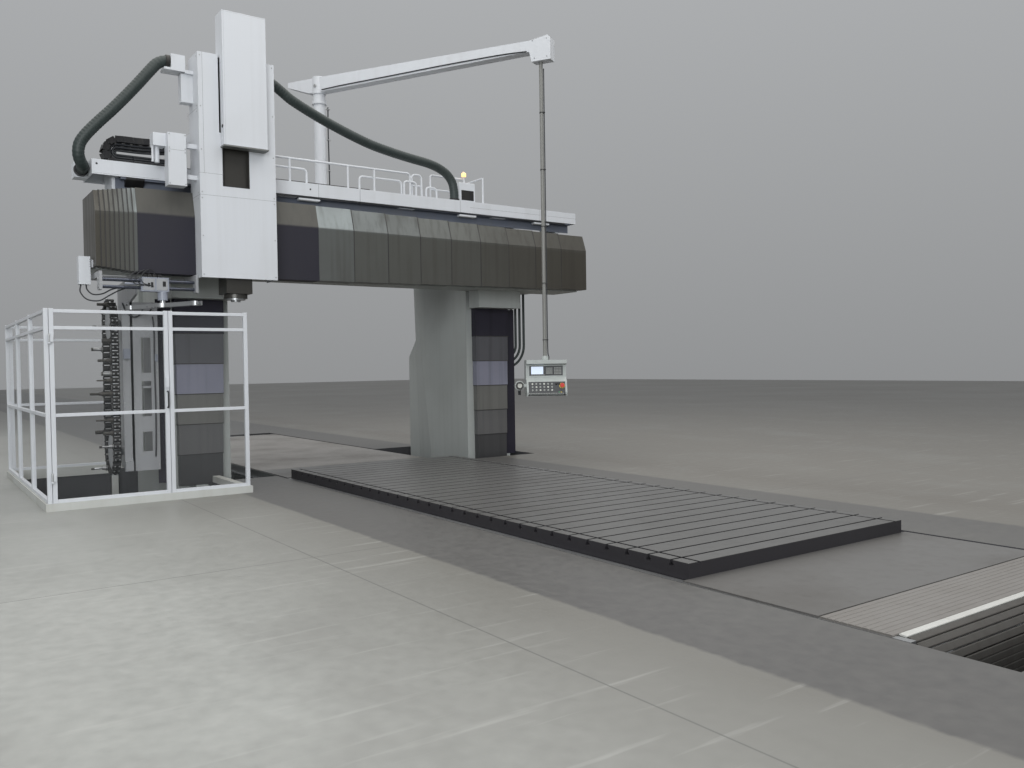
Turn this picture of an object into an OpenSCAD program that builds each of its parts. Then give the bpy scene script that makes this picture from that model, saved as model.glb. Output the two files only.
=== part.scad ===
// Double-column machining centre: a travelling table in a floor pit, a crossrail that rides up and
// down two columns, and a saddle with a vertical ram on the crossrail.
// X runs along the crossrail, Y along the table away from the operator, Z is up. Millimetres.
// Origin: machine centre line, front plane of the columns, underside of the levelling pads.

/* [Foundation] */
// Height of the shop floor above the underside of the machine
pit_depth = 1250; // [1150:10:1500]
// Height of the levelling pads
pad_h = 50; // [30:5:80]
// Side of a square levelling pad
pad_w = 240; // [160:10:300]

/* [Bed] */
// Bed length behind the column front
bed_rear_l = 7800; // [7400:10:8000]
// Length of the middle casting in front of the columns
bed_mid_front = 3500; // [2600:10:4500]
// Length of the middle casting behind the column front
bed_mid_rear = 2900; // [2400:10:3500]
// Width over the bed walls
bed_w = 2300; // [2200:10:2500]
// Distance between the centres of the two table ways
way_gauge = 1600; // [1400:10:1700]
// Width of one table way
way_w = 200; // [140:10:240]
// Height of the top of the table ways
way_top = 970; // [900:10:1000]

/* [Table] */
// Table width
table_w = 2886; // [2700:2:2890]
// Table length
table_l = 8112; // [7900:4:8200]
// Height of the table top above the shop floor
table_rise = 120; // [80:5:160]
// Thickness of the table plate
table_t = 250; // [200:10:300]
// Distance from the near end of the table to the column front at rest
table_near = 8765; // [8700:5:8850]
// Travel of the table to the rear
table_travel = 7200; // [6000:50:7300]
// Distance between the cross T-slots
slot_pitch = 250; // [220:5:320]
// Width of the T-slot mouth
slot_w = 28; // [22:1:36]
// Length of the plates that carry the table level out at each end
end_plate_l = 1175; // [1000:25:1250]
// Thickness of the end plates
end_plate_t = 12; // [8:1:20]

/* [Link aprons] */
// Distance between the slats of an apron
slat_pitch = 50; // [40:5:80]
// Radius of an apron roller
roller_r = 200; // [150:5:220]
// Flat length of the front apron between its roller axis and the end plate
apron_flat = 510; // [450:10:700]
// How far an apron hangs below the roller axis
apron_drop = 600; // [300:50:700]

/* [Columns] */
// Clear width between the columns
column_gap = 4300; // [4200:10:4500]
// Width of a column
column_w = 930; // [880:10:1000]
// Depth of a column
column_d = 1950; // [1700:10:2200]
// Height of the column top above the shop floor
column_h = 4300; // [4200:10:4500]
// How far the crossrail ways stand proud of the column
column_way_t = 80; // [70:5:90]
// Width of one column way
column_way_w = 130; // [100:5:150]
// Radius of an elevating screw
lift_screw_r = 35; // [25:1:38]

/* [Crossrail] */
// Length of the crossrail
rail_l = 8300; // [8200:20:8600]
// Height of the underside of the crossrail covers above the shop floor
rail_bottom = 2950; // [2900:10:3000]
// Height of the top of the crossrail covers above the shop floor
rail_top = 4090; // [4000:10:4120]
// Depth of the crossrail casting
rail_d = 700; // [600:10:720]
// Front plane of the way covers, ahead of the column front
cover_front = 1085; // [1060:5:1120]
// Downward travel of the crossrail
rail_travel = 1200; // [800:50:1250]
// Radius of the traverse screw
traverse_screw_r = 30; // [20:1:34]

/* [Saddle and ram] */
// Place of the saddle centre at rest, left of the machine centre
saddle_x = 2380; // [2300:5:2400]
// Width of the saddle housing
saddle_w = 1050; // [950:10:1150]
// Front plane of the saddle housing, ahead of the column front
saddle_front = 1365; // [1340:5:1380]
// Height of the saddle top above the shop floor
saddle_top = 5927; // [5800:5:6100]
// Width of the cover wings over both sides of the saddle
wing_span = 2540; // [2400:10:2560]
// Side of the square ram
ram_w = 360; // [300:10:400]
// Height of the ram underside above the shop floor at rest
ram_bottom = 2700; // [2650:10:2800]
// Length of the ram
ram_l = 3200; // [3100:10:3300]
// Downward travel of the ram
ram_travel = 1000; // [600:50:1000]
// Travel of the saddle to the right
saddle_travel = 4760; // [4000:10:4760]
// Outside radius of the spindle nose
nose_r = 64.285; // [50:0.005:80]

/* [Walkway and jib] */
// Height of the underside of the walkway above the shop floor
walk_bottom = 4235; // [4200:5:4260]
// Height of the walkway fascia
walk_h = 196; // [160:2:220]
// Height of the guard rail above the walkway
guard_h = 345; // [300:5:500]
// Height of the jib boom above the shop floor
boom_h = 6690; // [6650:10:6900]
// Length of the boom from the mast to the drop pole
boom_l = 4300; // [4000:10:4400]
// Turn of the boom from straight right towards the front
boom_turn = 60; // [50:1:70]
// Radius of the jib mast
mast_r = 105; // [80:5:120]
// Height of the pendant centre above the shop floor
pendant_h = 1440; // [1350:10:1600]
// Width of the pendant housing
pendant_w = 640; // [560:10:720]

/* [Tool change] */
// Place of the tool chain left of the machine centre
chain_x = 3790; // [3740:5:3850]
// Radius of the chain path round a sprocket
chain_r = 300; // [250:10:320]
// Number of tool pots on the chain
pot_count = 60; // [48:1:62]
// Height of the lower sprocket axis above the shop floor
chain_low = 500; // [480:10:600]
// Height of the upper sprocket axis above the shop floor
chain_high = 2340; // [2300:10:2400]

/* [Guard] */
// Height of the fence above the shop floor
fence_h = 2400; // [2200:10:2480]
// Left side of the fence, left of the machine centre
fence_left = 4880; // [4850:5:4950]
// Right side of the fence, left of the machine centre
fence_right = 2470; // [2440:5:2520]
// Front plane of the fence, ahead of the column front
fence_front = 1850; // [1830:5:1950]
// Rear plane of the fence behind the column front
fence_rear = 2550; // [2450:10:2700]
// Side of the square fence tube
tube = 50; // [40:5:60]

/* [Hidden] */
$fn = 32;

// Clearances: sliding faces, screws and shafts in their bores, and sheet pieces beside each other
slide_gap = 0.3;
bore_gap = 0.05;
seat_gap = 0.3;
eps = 1;

// Finishes
WHITE = [0.80, 0.81, 0.83];
GREY_GREEN = [0.60, 0.62, 0.60];
STEEL = [0.52, 0.53, 0.54];
DARK = [0.16, 0.16, 0.20];
IRON = [0.30, 0.28, 0.26];

// Box between two corners, each direction given as [low, high]
module span(x, y, z) {
  translate([x[0], y[0], z[0]])
    cube([x[1] - x[0], y[1] - y[0], z[1] - z[0]]);
}

// Outline in Y and Z carried along X
module x_prism(x, points) {
  translate([x[0], 0, 0]) rotate([90, 0, 90])
    linear_extrude(x[1] - x[0]) polygon(points);
}

// Outline in X and Z carried along Y
module y_prism(y, points) {
  translate([0, y[1], 0]) rotate([90, 0, 0])
    linear_extrude(y[1] - y[0]) polygon(points);
}

// Round bar along X, Y or Z from a start point
module bar_x(p, l, r) { translate(p) rotate([0, 90, 0]) cylinder(h = l, r = r); }
module bar_y(p, l, r) { translate(p) rotate([-90, 0, 0]) cylinder(h = l, r = r); }
module bar_z(p, l, r) { translate(p) cylinder(h = l, r = r); }

// The same piece on both sides of the centre plane
module both_sides() {
  children();
  mirror([1, 0, 0]) children();
}

// Height above the shop floor, in the part's own frame
function up(h) = pit_depth + h;
// A pair of limits shifted by a distance, and a pair at equal distances from a middle
function at(c, r) = [for (v = r) c + v];
function about(c, h) = [c - h, c + h];
function sides(points) = concat(points, [for (i = [len(points) - 1:-1:0]) [-points[i][0], points[i][1]]]);
function arc(c, r, a0, a1, n) = [for (i = [0:n]) let (a = a0 + (a1 - a0) * i / n) c + r * [cos(a), sin(a)]];

// Roller axes: one ahead of the front end plate, one behind the bed, both clear of the bed ends
roller_front = table_near + end_plate_l + apron_flat;
roller_rear = bed_rear_l + roller_r + 100;
bed_front_l = roller_front - roller_r - 100;

// Bed: cast box with two raised flat ways and an open trough for the rack drive
bed_wall_top = way_top - 120;
trough_w = 1000;
trough_floor = 300;
flange_w = bed_w + 200;
bed_profile = sides([[0, pad_h], [flange_w / 2, pad_h], [flange_w / 2, pad_h + 70], [bed_w / 2, pad_h + 110],
  [bed_w / 2, bed_wall_top], [(way_gauge + way_w) / 2, bed_wall_top], [(way_gauge + way_w) / 2, way_top],
  [(way_gauge - way_w) / 2, way_top], [(way_gauge - way_w) / 2, bed_wall_top],
  [trough_w / 2, bed_wall_top], [trough_w / 2, trough_floor], [0, trough_floor]]);
pocket_d = 160;
pocket_pitch = 900;

module bed_casting(y) {
  count = floor((y[1] - y[0] - 200) / pocket_pitch);
  first = (y[0] + y[1] - (count - 1) * pocket_pitch) / 2;
  difference() {
    y_prism(y, bed_profile);
    both_sides() for (i = [0:count - 1])
      span([bed_w / 2 - pocket_d, bed_w / 2 + eps], about(first + i * pocket_pitch, 300),
        [pad_h + 220, bed_wall_top - 130]);
    both_sides() for (i = [0:count - 1])
      bar_z([flange_w / 2 - 50, first + (i + 0.5) * pocket_pitch, pad_h - eps], 72 + eps, 24);
  }
}

module bed_front() { color(GREY_GREEN) bed_casting([-bed_front_l, -bed_mid_front]); }
module bed_rear() { color(GREY_GREEN) bed_casting([bed_mid_rear, bed_rear_l]); }

// The middle casting has a foot on each side that is bolted to the column
foot_y = [150, column_d - 150];
module bed_middle() {
  color(GREY_GREEN) {
    bed_casting([-bed_mid_front, bed_mid_rear]);
    both_sides() difference() {
      span([bed_w / 2 - pocket_d - 10, column_gap / 2], foot_y, [pad_h, bed_wall_top - 60]);
      for (y = at(foot_y[0], [300, 1350]))
        span([bed_w / 2 + 120, column_gap / 2 - 120], about(y, 200), [pad_h + 250, bed_wall_top]);
    }
  }
}

// Levelling pads: wedge blocks with a setting bolt under the bed flanges and the column feet
pad_bolt_r = 15;
module levelling_pad(x, y) {
  span(about(x, pad_w / 2), about(y, pad_w / 2), [0, pad_h]);
  bar_x([x + pad_w / 2 - eps, y, pad_h / 2], 40, pad_bolt_r);
}
module levelling_pads() {
  color(STEEL) levelling_pad(0, 0);
  color(STEEL) both_sides() {
    for (i = [0:9]) levelling_pad(way_gauge / 2 + 150, -bed_front_l + 300 + i * (bed_front_l + bed_rear_l - 600) / 9);
    for (x = at(column_gap / 2, [250, column_w - 100]), y = [50, column_foot_d - 400]) levelling_pad(x, y);
  }
}

// Trench rails: channels on posts that carry the end plates and aprons level with the floor
rail_in = table_w / 2 + 12;
rail_out = rail_in + 60;
plate_z = [up(0) - end_plate_t, up(0)];
trench_rail_top = plate_z[0] - slide_gap - 0.5;
belt_t = 6;
roller_z = plate_z[0] - belt_t - roller_r - slide_gap;
shaft_r = 40;
post_pitch = 1900;
rail_y = [-roller_front - 120, roller_rear + 120];
module trench_rails() {
  color(STEEL) both_sides() difference() {
    union() {
      span([rail_in, rail_out], rail_y, [trench_rail_top - 150, trench_rail_top]);
      for (y = rail_y + [60, -60]) span([rail_in, rail_out], about(y, 60), [0, trench_rail_top]);
      for (y = [-roller_front, roller_rear])
        span([rail_in, rail_out], about(y, 120), [roller_z - 120, trench_rail_top]);
      for (y = [rail_y[0] + post_pitch:post_pitch:-200])
        span([rail_in, rail_out], about(y, 40), [0, trench_rail_top]);
      for (y = [foot_y[1] + 300:post_pitch:rail_y[1] - 400])
        span([rail_in, rail_out], about(y, 40), [0, trench_rail_top]);
    }
    for (y = [-roller_front, roller_rear])
      bar_x([rail_in - eps, y, roller_z], rail_out - rail_in + 2 * eps, shaft_r + bore_gap);
    span([rail_in + 12, rail_out + eps], rail_y + [260, -260], [trench_rail_top - 138, trench_rail_top - 12]);
  }
}

// Apron rollers: turned drums on through shafts
drum_l = 2 * rail_in - 20;
module apron_roller(y) {
  color(STEEL) {
    bar_x([-rail_out - 10, y, roller_z], 2 * rail_out + 20, shaft_r);
    for (x = [-drum_l / 2, -150, drum_l / 2 - 300]) bar_x([x, y, roller_z], 300, roller_r);
    bar_x([-drum_l / 2, y, roller_z], drum_l, roller_r - 60);
  }
}
module roller_front() { apron_roller(-roller_front); }
module roller_rear() { apron_roller(roller_rear); }

// Link apron: slats on a belt, flat at floor level, bent round the roller and hanging in the pit.
// Drawn for the rear end; d is the flat length and y the roller axis.
slat_over = rail_out - 10;
belt_half = rail_in - 15;
belt_r = roller_r + slide_gap;
bend_slats = round(3.1416 / 2 * (belt_r + belt_t) / slat_pitch);
drop_slats = floor(apron_drop / slat_pitch);
function bend_slat(c, i) = let (a = 90 - 90 / bend_slats * (i + 0.03), b = 90 - 90 / bend_slats * (i + 0.97),
  p = [cos(a), sin(a)], q = [cos(b), sin(b)], r = belt_r + belt_t, t = end_plate_t - 1)
  [c + r * p, c + (r + t) * p, c + (r + t) * q, c + r * q];
function drop_slat(x, z) = let (t = end_plate_t - 1) [[x, z - 1], [x + t, z - 1], [x + t, z + 1 - slat_pitch], [x, z + 1 - slat_pitch]];
module apron(y, d) {
  c = [y, roller_z];
  top = roller_z + belt_r + belt_t;
  outer = concat([[y - d, top]], [for (i = [0:bend_slats - 1]) each bend_slat(c, i)],
    [for (i = [0:drop_slats - 1]) each drop_slat(y + belt_r + belt_t, roller_z - i * slat_pitch)]);
  inner = concat([[y + belt_r, roller_z - drop_slats * slat_pitch]], arc(c, belt_r, 0, 90, 16), [[y - d, top - belt_t]]);
  x_prism([-belt_half, belt_half], concat(outer, [[y + belt_r + belt_t, roller_z - drop_slats * slat_pitch]], inner));
  for (i = [0:floor(d / slat_pitch) - 1])
    span([-slat_over, slat_over], at(y - i * slat_pitch, [2 - slat_pitch, -2]), [top - 0.5, top + end_plate_t]);
}
table_far = table_l - table_near;
module apron_rear() { color(STEEL) apron(roller_rear, roller_rear - table_far - end_plate_l - 1); }
module apron_front() { color(STEEL) mirror([0, 1, 0]) apron(roller_front, roller_front - table_near - end_plate_l - 1); }

// Table: plate with cross T-slots, drip grooves, guide feet and a rack along the middle
table_top = up(table_rise);
table_low = table_top - table_t;
slot_head_w = slot_w * 1.75;
slot_head_h = slot_w * 0.75;
slot_neck_h = slot_w;
slot_count = floor((table_l - 300) / slot_pitch) + 1;
slot_first = -table_near + (table_l - (slot_count - 1) * slot_pitch) / 2;
function slot_outline(y) = [[y - slot_w / 2, table_top], [y - slot_w / 2, table_top - slot_neck_h],
  [y - slot_head_w / 2, table_top - slot_neck_h], [y - slot_head_w / 2, table_top - slot_neck_h - slot_head_h],
  [y + slot_head_w / 2, table_top - slot_neck_h - slot_head_h], [y + slot_head_w / 2, table_top - slot_neck_h],
  [y + slot_w / 2, table_top - slot_neck_h], [y + slot_w / 2, table_top]];
table_outline = concat([[-table_near, table_low], [-table_near, table_top]],
  [for (i = [0:slot_count - 1]) each slot_outline(slot_first + i * slot_pitch)],
  [[table_far, table_top], [table_far, table_low]]);

// Rack and pinion
gear_module = 12;
pinion_teeth = 20;
pinion_r = gear_module * pinion_teeth / 2;
rack_pitch = gear_module * 3.14159265;
rack_w = 120;
pitch_line = table_low - 62;
pinion_y = 0;
rack_count = floor((table_l - 40) / rack_pitch);
// The rack has a tooth space in line with the pinion axis at rest
rack_first = pinion_y - floor((pinion_y + table_near - 20) / rack_pitch - 0.5) * rack_pitch - rack_pitch / 2;
rack_last_count = floor((table_far - 20 - rack_first) / rack_pitch);
function rack_tooth(y) = let (a = rack_pitch / 4 - 1.6, s = tan(20) * gear_module)
  [[y - a - s * 1.2, pitch_line + gear_module * 1.2], [y - a + s, pitch_line - gear_module],
   [y + a - s, pitch_line - gear_module], [y + a + s * 1.2, pitch_line + gear_module * 1.2]];
rack_outline = concat([[rack_first - rack_pitch / 2, table_low + eps], [rack_first - rack_pitch / 2, pitch_line + gear_module * 1.2]],
  [for (i = [0:rack_last_count]) each rack_tooth(rack_first + i * rack_pitch)],
  [[rack_first + (rack_last_count + 0.5) * rack_pitch, pitch_line + gear_module * 1.2],
   [rack_first + (rack_last_count + 0.5) * rack_pitch, table_low + eps]]);

module table() {
  color(IRON) {
    difference() {
      x_prism([-table_w / 2, table_w / 2], table_outline);
      both_sides() span([table_w / 2 - 130, table_w / 2 - 100], [-table_near - eps, table_far + eps], [table_top - 14, table_top + eps]);
      both_sides() for (i = [0:8])
        span([rack_w / 2 + 80, way_gauge / 2 - way_w / 2 - 60], about(-table_near + (i + 0.5) * table_l / 9, 380),
          [table_low - eps, table_top - 120]);
    }
    both_sides() span(about(way_gauge / 2, way_w / 2 + 20), [-table_near, table_far], [way_top + slide_gap, table_low + eps]);
    x_prism([-rack_w / 2, rack_w / 2], rack_outline);
  }
}

// Flank of the pinion: an involute of the base circle, drawn with a few points
function involute(r, rb) = let (a = acos(min(1, rb / r))) tan(a) * 57.29578 - a;
function pinion_points() = let (rb = pinion_r * cos(20), half = 90 / pinion_teeth - 0.75,
  base = half + involute(pinion_r, rb), ro = pinion_r + gear_module, ri = pinion_r - 1.2 * gear_module,
  rs = [for (i = [0:4]) rb + 0.1 + (ro - rb - 0.1) * i / 4])
  [for (t = [0:pinion_teeth - 1]) let (c = t * 360 / pinion_teeth) each concat(
    [ri * [cos(c - base - 0.6), sin(c - base - 0.6)]],
    [for (r = rs) let (a = c - (base - involute(r, rb))) r * [cos(a), sin(a)]],
    [for (i = [4:-1:0]) let (r = rs[i], a = c + (base - involute(r, rb))) r * [cos(a), sin(a)]],
    [ri * [cos(c + base + 0.6), sin(c + base + 0.6)]])];
pinion_z = pitch_line - pinion_r;
pinion_shaft_r = 45;
gearbox_x = rack_w / 2 + 20;
module table_pinion() {
  color(STEEL) {
    translate([-rack_w / 2 + 5, pinion_y, pinion_z]) rotate([90, 0, 90])
      linear_extrude(rack_w - 10) rotate(90) polygon(pinion_points());
    bar_x([rack_w / 2 - 10, pinion_y, pinion_z], gearbox_x + 200 - rack_w / 2, pinion_shaft_r);
  }
}

// Table drive: gearbox with the pinion bearing and a motor lying beside it in the trough
module table_drive() {
  color(GREY_GREEN) {
    difference() {
      union() {
        span([gearbox_x, gearbox_x + 260], about(pinion_y, 170), [trough_floor, pinion_z + 90]);
        bar_x([gearbox_x, pinion_y, pinion_z], 260, 95);
      }
      bar_x([gearbox_x - eps, pinion_y, pinion_z], 230, pinion_shaft_r + bore_gap);
    }
    bar_y([gearbox_x + 130, pinion_y + 165, trough_floor + 200], 460, 130);
    bar_y([gearbox_x + 130, pinion_y + 620, trough_floor + 200], 60, 110);
    span([gearbox_x + 60, gearbox_x + 200], at(pinion_y, [250, 560]), [trough_floor, trough_floor + 100]);
  }
}

// End plates: level plates bolted to the table ends, with ribs below
module end_plates() {
  color(IRON) for (end = [[-table_near - end_plate_l, -table_near, -table_near - 15], [table_far, table_far + end_plate_l, table_far]]) {
    span([-slat_over, slat_over], [end[0], end[1]], plate_z);
    span([-rail_in + 20, rail_in - 20], [end[2], end[2] + 15], [table_low + 10, plate_z[0] + eps]);
    for (i = [1:5]) span([-rail_in + 30, rail_in - 30], about(end[0] + i * end_plate_l / 6, 6), [plate_z[0] - 70, plate_z[0] + eps]);
  }
}

// Columns
column_in = column_gap / 2;
column_out = column_in + column_w;
column_mid = (column_in + column_out) / 2;
column_foot_d = 2700;
foot_w = column_w + 220;
way_in = column_mid - 240;
way_out = column_mid + 240;
anchor_r = 28;
anchor_x = at(column_in, [200, foot_w - 110]);
anchor_y = [-140, column_foot_d - 370];
rear_box_h = 1850;

// Drawn on the right: shaft with slanted rear edge, buttress at the rear, foot with anchor holes
module column() {
  difference() {
    union() {
      difference() {
        span([column_in, column_out], [0, column_d], [pad_h, up(column_h)]);
        translate([column_in, column_d - 480, up(740)]) rotate([-9.6, 0, 0]) rotate([0, 0, -9])
          translate([-600, 0, -2500]) cube([600, 1500, 8000]);
        span([column_out - 60, column_out + eps], [500, column_d - 350], [up(300), up(column_h - 500)]);
      }
      x_prism([column_in + 120, column_out - 120], [[column_d - 200, pad_h], [column_d + 440, pad_h],
        [column_d + 440, up(rear_box_h)], [column_d - eps, up(rear_box_h + 500)], [column_d - 200, up(rear_box_h + 500)]]);
      span([column_in, column_in + foot_w], [-250, column_foot_d - 250], [pad_h, pad_h + 100]);
      for (x = [way_in, way_out])
        span(about(x, column_way_w / 2), [-column_way_t, eps], [up(-200), up(column_h - 60)]);
      span(about(column_mid, 90), [screw_y - 60, eps], [screw_base - 60, screw_base + 90]);
    }
    for (x = anchor_x, y = anchor_y) bar_z([x, y, pad_h - eps], 100 + 2 * eps, anchor_r);
    bar_z([column_mid, screw_y, screw_base], 200, lift_screw_r + bore_gap);
  }
}
module column_right() { color(GREY_GREEN) column(); }
module column_left() { color(GREY_GREEN) mirror([1, 0, 0]) column(); }

// Top beam: closed girder between the columns that carries the jib mast
beam_y = [350, column_d - 150];
beam_z = [up(column_h - 800), up(column_h)];
mast_y = 1390;
module top_beam() {
  color(GREY_GREEN) difference() {
    span([-column_in, column_in], beam_y, beam_z);
    for (i = [-2:2]) span(about(i * 800, 280), [beam_y[0] - eps, beam_y[0] + 120], beam_z + [160, -160]);
    for (i = [-2:2]) span(about(i * 800, 280), [beam_y[1] - 120, beam_y[1] + eps], beam_z + [160, -160]);
  }
}

// Elevating screws and their drives on the column tops
screw_y = -column_way_t / 2 - 5;
nut_w = 150;
screw_base = up(-150);
module lift_screw() {
  color(STEEL) {
    bar_z([column_mid, screw_y, screw_base], up(column_h) + 120 - screw_base, lift_screw_r);
    bar_z([column_mid, screw_y, up(column_h) + 119], 60, lift_screw_r - 8);
  }
}
module lift_screw_right() { lift_screw(); }
module lift_screw_left() { mirror([1, 0, 0]) lift_screw(); }
module lift_drives() {
  color(GREY_GREEN) both_sides() difference() {
    union() {
      span([column_mid - 170, column_mid + 170], [-110, 330], [up(column_h), up(column_h + 190)]);
      bar_y([column_mid, 329, up(column_h) + 120], 420, 115);
      bar_y([column_mid, 740, up(column_h) + 120], 50, 95);
      span([column_mid - 90, column_mid + 90], [400, 680], [up(column_h), up(column_h + 60)]);
    }
    bar_z([column_mid, screw_y, up(column_h) - eps], 120 + 1 + eps, lift_screw_r + bore_gap);
    bar_z([column_mid, screw_y, up(column_h) + 110], 90, lift_screw_r - 8 + bore_gap);
  }
}

// Telescopic covers of the column ways: six folded sheets a column, the top one outermost
stage_count = 6;
cover_step = 8;
sheet = 3;
shoe_bottom = rail_bottom - 260;
stage_last_top = 450;
stage_pitch = (shoe_bottom - stage_last_top) / (stage_count - 1);
stage_l = stage_pitch + 60;
column_cover_front = column_way_t + 70;
lip_l = 24;
cover_half = 240 + column_way_w / 2 + stage_count * cover_step + 3;
module column_cover(k) {
  inset = k * cover_step;
  top = up(shoe_bottom - k * stage_pitch) - (k == 0 ? seat_gap : 0);
  x = about(column_mid, cover_half - inset);
  y = [-column_cover_front + inset, k == stage_count - 1 ? 0 : -8];
  lip = cover_step - slide_gap;
  both_sides() difference() {
    span(x, y, [top - stage_l, top]);
    span(x + [sheet, -sheet], [y[0] + sheet, y[1] + eps], [top - stage_l + lip_l, top - (k == 0 ? sheet : -eps)]);
    // The wiper lip at the lower edge comes within a sliding gap of the next sheet
    span(x + [lip, -lip], [y[0] + lip, y[1] + eps], [top - stage_l - eps, top - stage_l + lip_l + eps]);
    if (k == 0) span(about(column_mid, 320), [-column_way_t - 6, eps], [top - sheet - eps, top + eps]);
  }
}
module column_cover_1() { color(DARK) column_cover(0); }
module column_cover_2() { color(STEEL) column_cover(1); }
module column_cover_3() { color(WHITE) column_cover(2); }
module column_cover_4() { color(STEEL) column_cover(3); }
module column_cover_5() { color(STEEL) column_cover(4); }
module column_cover_6() { color(STEEL) column_cover(5); }

// Crossrail casting: box girder with two ways in front, shoes on the columns and lift nuts
rail_half = rail_l / 2;
rail_rear = -column_way_t - slide_gap;
rail_face = rail_rear - rail_d;
rail_way_t = 80;
way_face = rail_face - rail_way_t;
low_way = [rail_bottom + 150, rail_bottom + 270];
high_way = [rail_top - 290, rail_top - 170];
screw_z = (low_way[0] + high_way[1]) / 2;
screw_x_y = rail_face - traverse_screw_r - 12;
gib_t = 34;
rail_outline = [[rail_rear, up(rail_bottom + 50)], [rail_rear, up(rail_top - 30)], [rail_face + 80, up(rail_top - 30)],
  [rail_face, up(rail_top - 110)], [rail_face, up(high_way[1])], [way_face, up(high_way[1])],
  [way_face, up(high_way[0])], [rail_face, up(high_way[0])], [rail_face, up(low_way[1])],
  [way_face, up(low_way[1])], [way_face, up(low_way[0])], [rail_face, up(low_way[0])], [rail_face, up(rail_bottom + 50)]];
module crossrail() {
  color(GREY_GREEN) difference() {
    union() {
      x_prism([-rail_half + 40, rail_half - 40], rail_outline);
      both_sides() {
        span([column_in + 20, column_out - 10], [rail_rear - 320, rail_rear], [up(shoe_bottom), up(rail_bottom + 60)]);
        for (x = [way_in - column_way_w / 2 - slide_gap - gib_t, way_out + column_way_w / 2 + slide_gap])
          span([x, x + gib_t], [rail_rear - eps, -12], [up(shoe_bottom + 30), up(rail_top - 200)]);
        span(about(column_mid, nut_w / 2), [rail_rear - eps, -6], [up(rail_bottom - 20), up(rail_bottom + 180)]);
        span([rail_half - 220, rail_half - 140], [screw_x_y - 70, rail_face + eps], about(up(screw_z), 80));
      }
      // Bracket that the hoses to the right column hang from
      span([column_out + 60, column_out + 480], [rail_rear - eps, side_hose_y + 60], [side_hose_top, side_hose_top + 30]);
    }
    both_sides() bar_z([column_mid, screw_y, up(shoe_bottom) - eps], rail_top - shoe_bottom, lift_screw_r + bore_gap);
    bar_x([-rail_half, screw_x_y, up(screw_z)], rail_l, traverse_screw_r + bore_gap);
    for (i = [-3:3]) span(about(i * 560, 200), [rail_rear - 200, rail_rear + eps], [up(rail_bottom + 200), up(rail_top - 230)]);
  }
}

// Traverse screw along the crossrail front
module traverse_screw() {
  color(STEEL) bar_x([-rail_half + 150, screw_x_y, up(screw_z)], rail_l - 300, traverse_screw_r);
}

// Section of a way cover: folded sheet over both ways, inset by d from the outermost one
crease = rail_bottom + 795;
slope = 100;
cover_back = -rail_face + 30;
function cover_shell(d, back) = [[-back, up(rail_bottom) + d], [-cover_front + d, up(rail_bottom) + d],
  [-cover_front + d, up(crease) - d * 0.1], [-cover_front + slope + d, up(rail_top) - d], [-back, up(rail_top) - d]];
module cover_ring(x, d, e) {
  x_prism(x, concat(cover_shell(d, cover_back), [for (i = [4:-1:0]) cover_shell(e, cover_back)[i]]));
}
// side is 1 for a plate whose wiper lip is at its right end, -1 for the left
module cover_stage(x, d, side) {
  cover_ring(x, d, d + sheet);
  edge = side > 0 ? x[1] : x[0] + lip_l;
  cover_ring([edge - lip_l, edge], d, d + way_step - slide_gap);
}

// Way covers: eight moving plates a side between the wings and the fixed end covers
way_stages = 9;
way_step = 8;
wing_half = wing_span / 2;
right_pitch = (rail_half + saddle_x - wing_half) / way_stages;
left_pitch = (rail_half - saddle_x - wing_half) / way_stages;
plate_l = right_pitch + 66;
module way_cover(k) {
  right_end = -saddle_x + wing_half + k * right_pitch;
  left_end = -saddle_x - wing_half - k * left_pitch;
  cover_stage([right_end - plate_l, right_end], k * way_step, 1);
  cover_stage([left_end, left_end + plate_l], k * way_step, -1);
}
module way_cover_1() { color(STEEL) way_cover(1); }
module way_cover_2() { color(STEEL) way_cover(2); }
module way_cover_3() { color(STEEL) way_cover(3); }
module way_cover_4() { color(STEEL) way_cover(4); }
module way_cover_5() { color(STEEL) way_cover(5); }
module way_cover_6() { color(STEEL) way_cover(6); }
module way_cover_7() { color(STEEL) way_cover(7); }
module way_cover_8() { color(STEEL) way_cover(8); }

// End covers: the last plate of each side with the end wall that closes the crossrail
end_inset = way_stages * way_step;
module end_covers() {
  color(GREY_GREEN) both_sides() {
    cover_ring([rail_half - plate_l, rail_half], end_inset, end_inset + sheet);
    x_prism([rail_half - 20, rail_half], cover_shell(end_inset + sheet - 0.5, -rail_rear + 60));
    span([rail_half - 40, rail_half - 19], [rail_face + 60, rail_rear - 60], [up(rail_bottom + 150), up(rail_top - 150)]);
  }
}

// Saddle wings: outermost way covers, fixed to both sides of the saddle housing
module saddle_wings() {
  color(DARK) translate([-saddle_x, 0, 0]) both_sides() {
    cover_stage([saddle_w / 2 + seat_gap, wing_half], 0, 1);
  }
}

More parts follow.
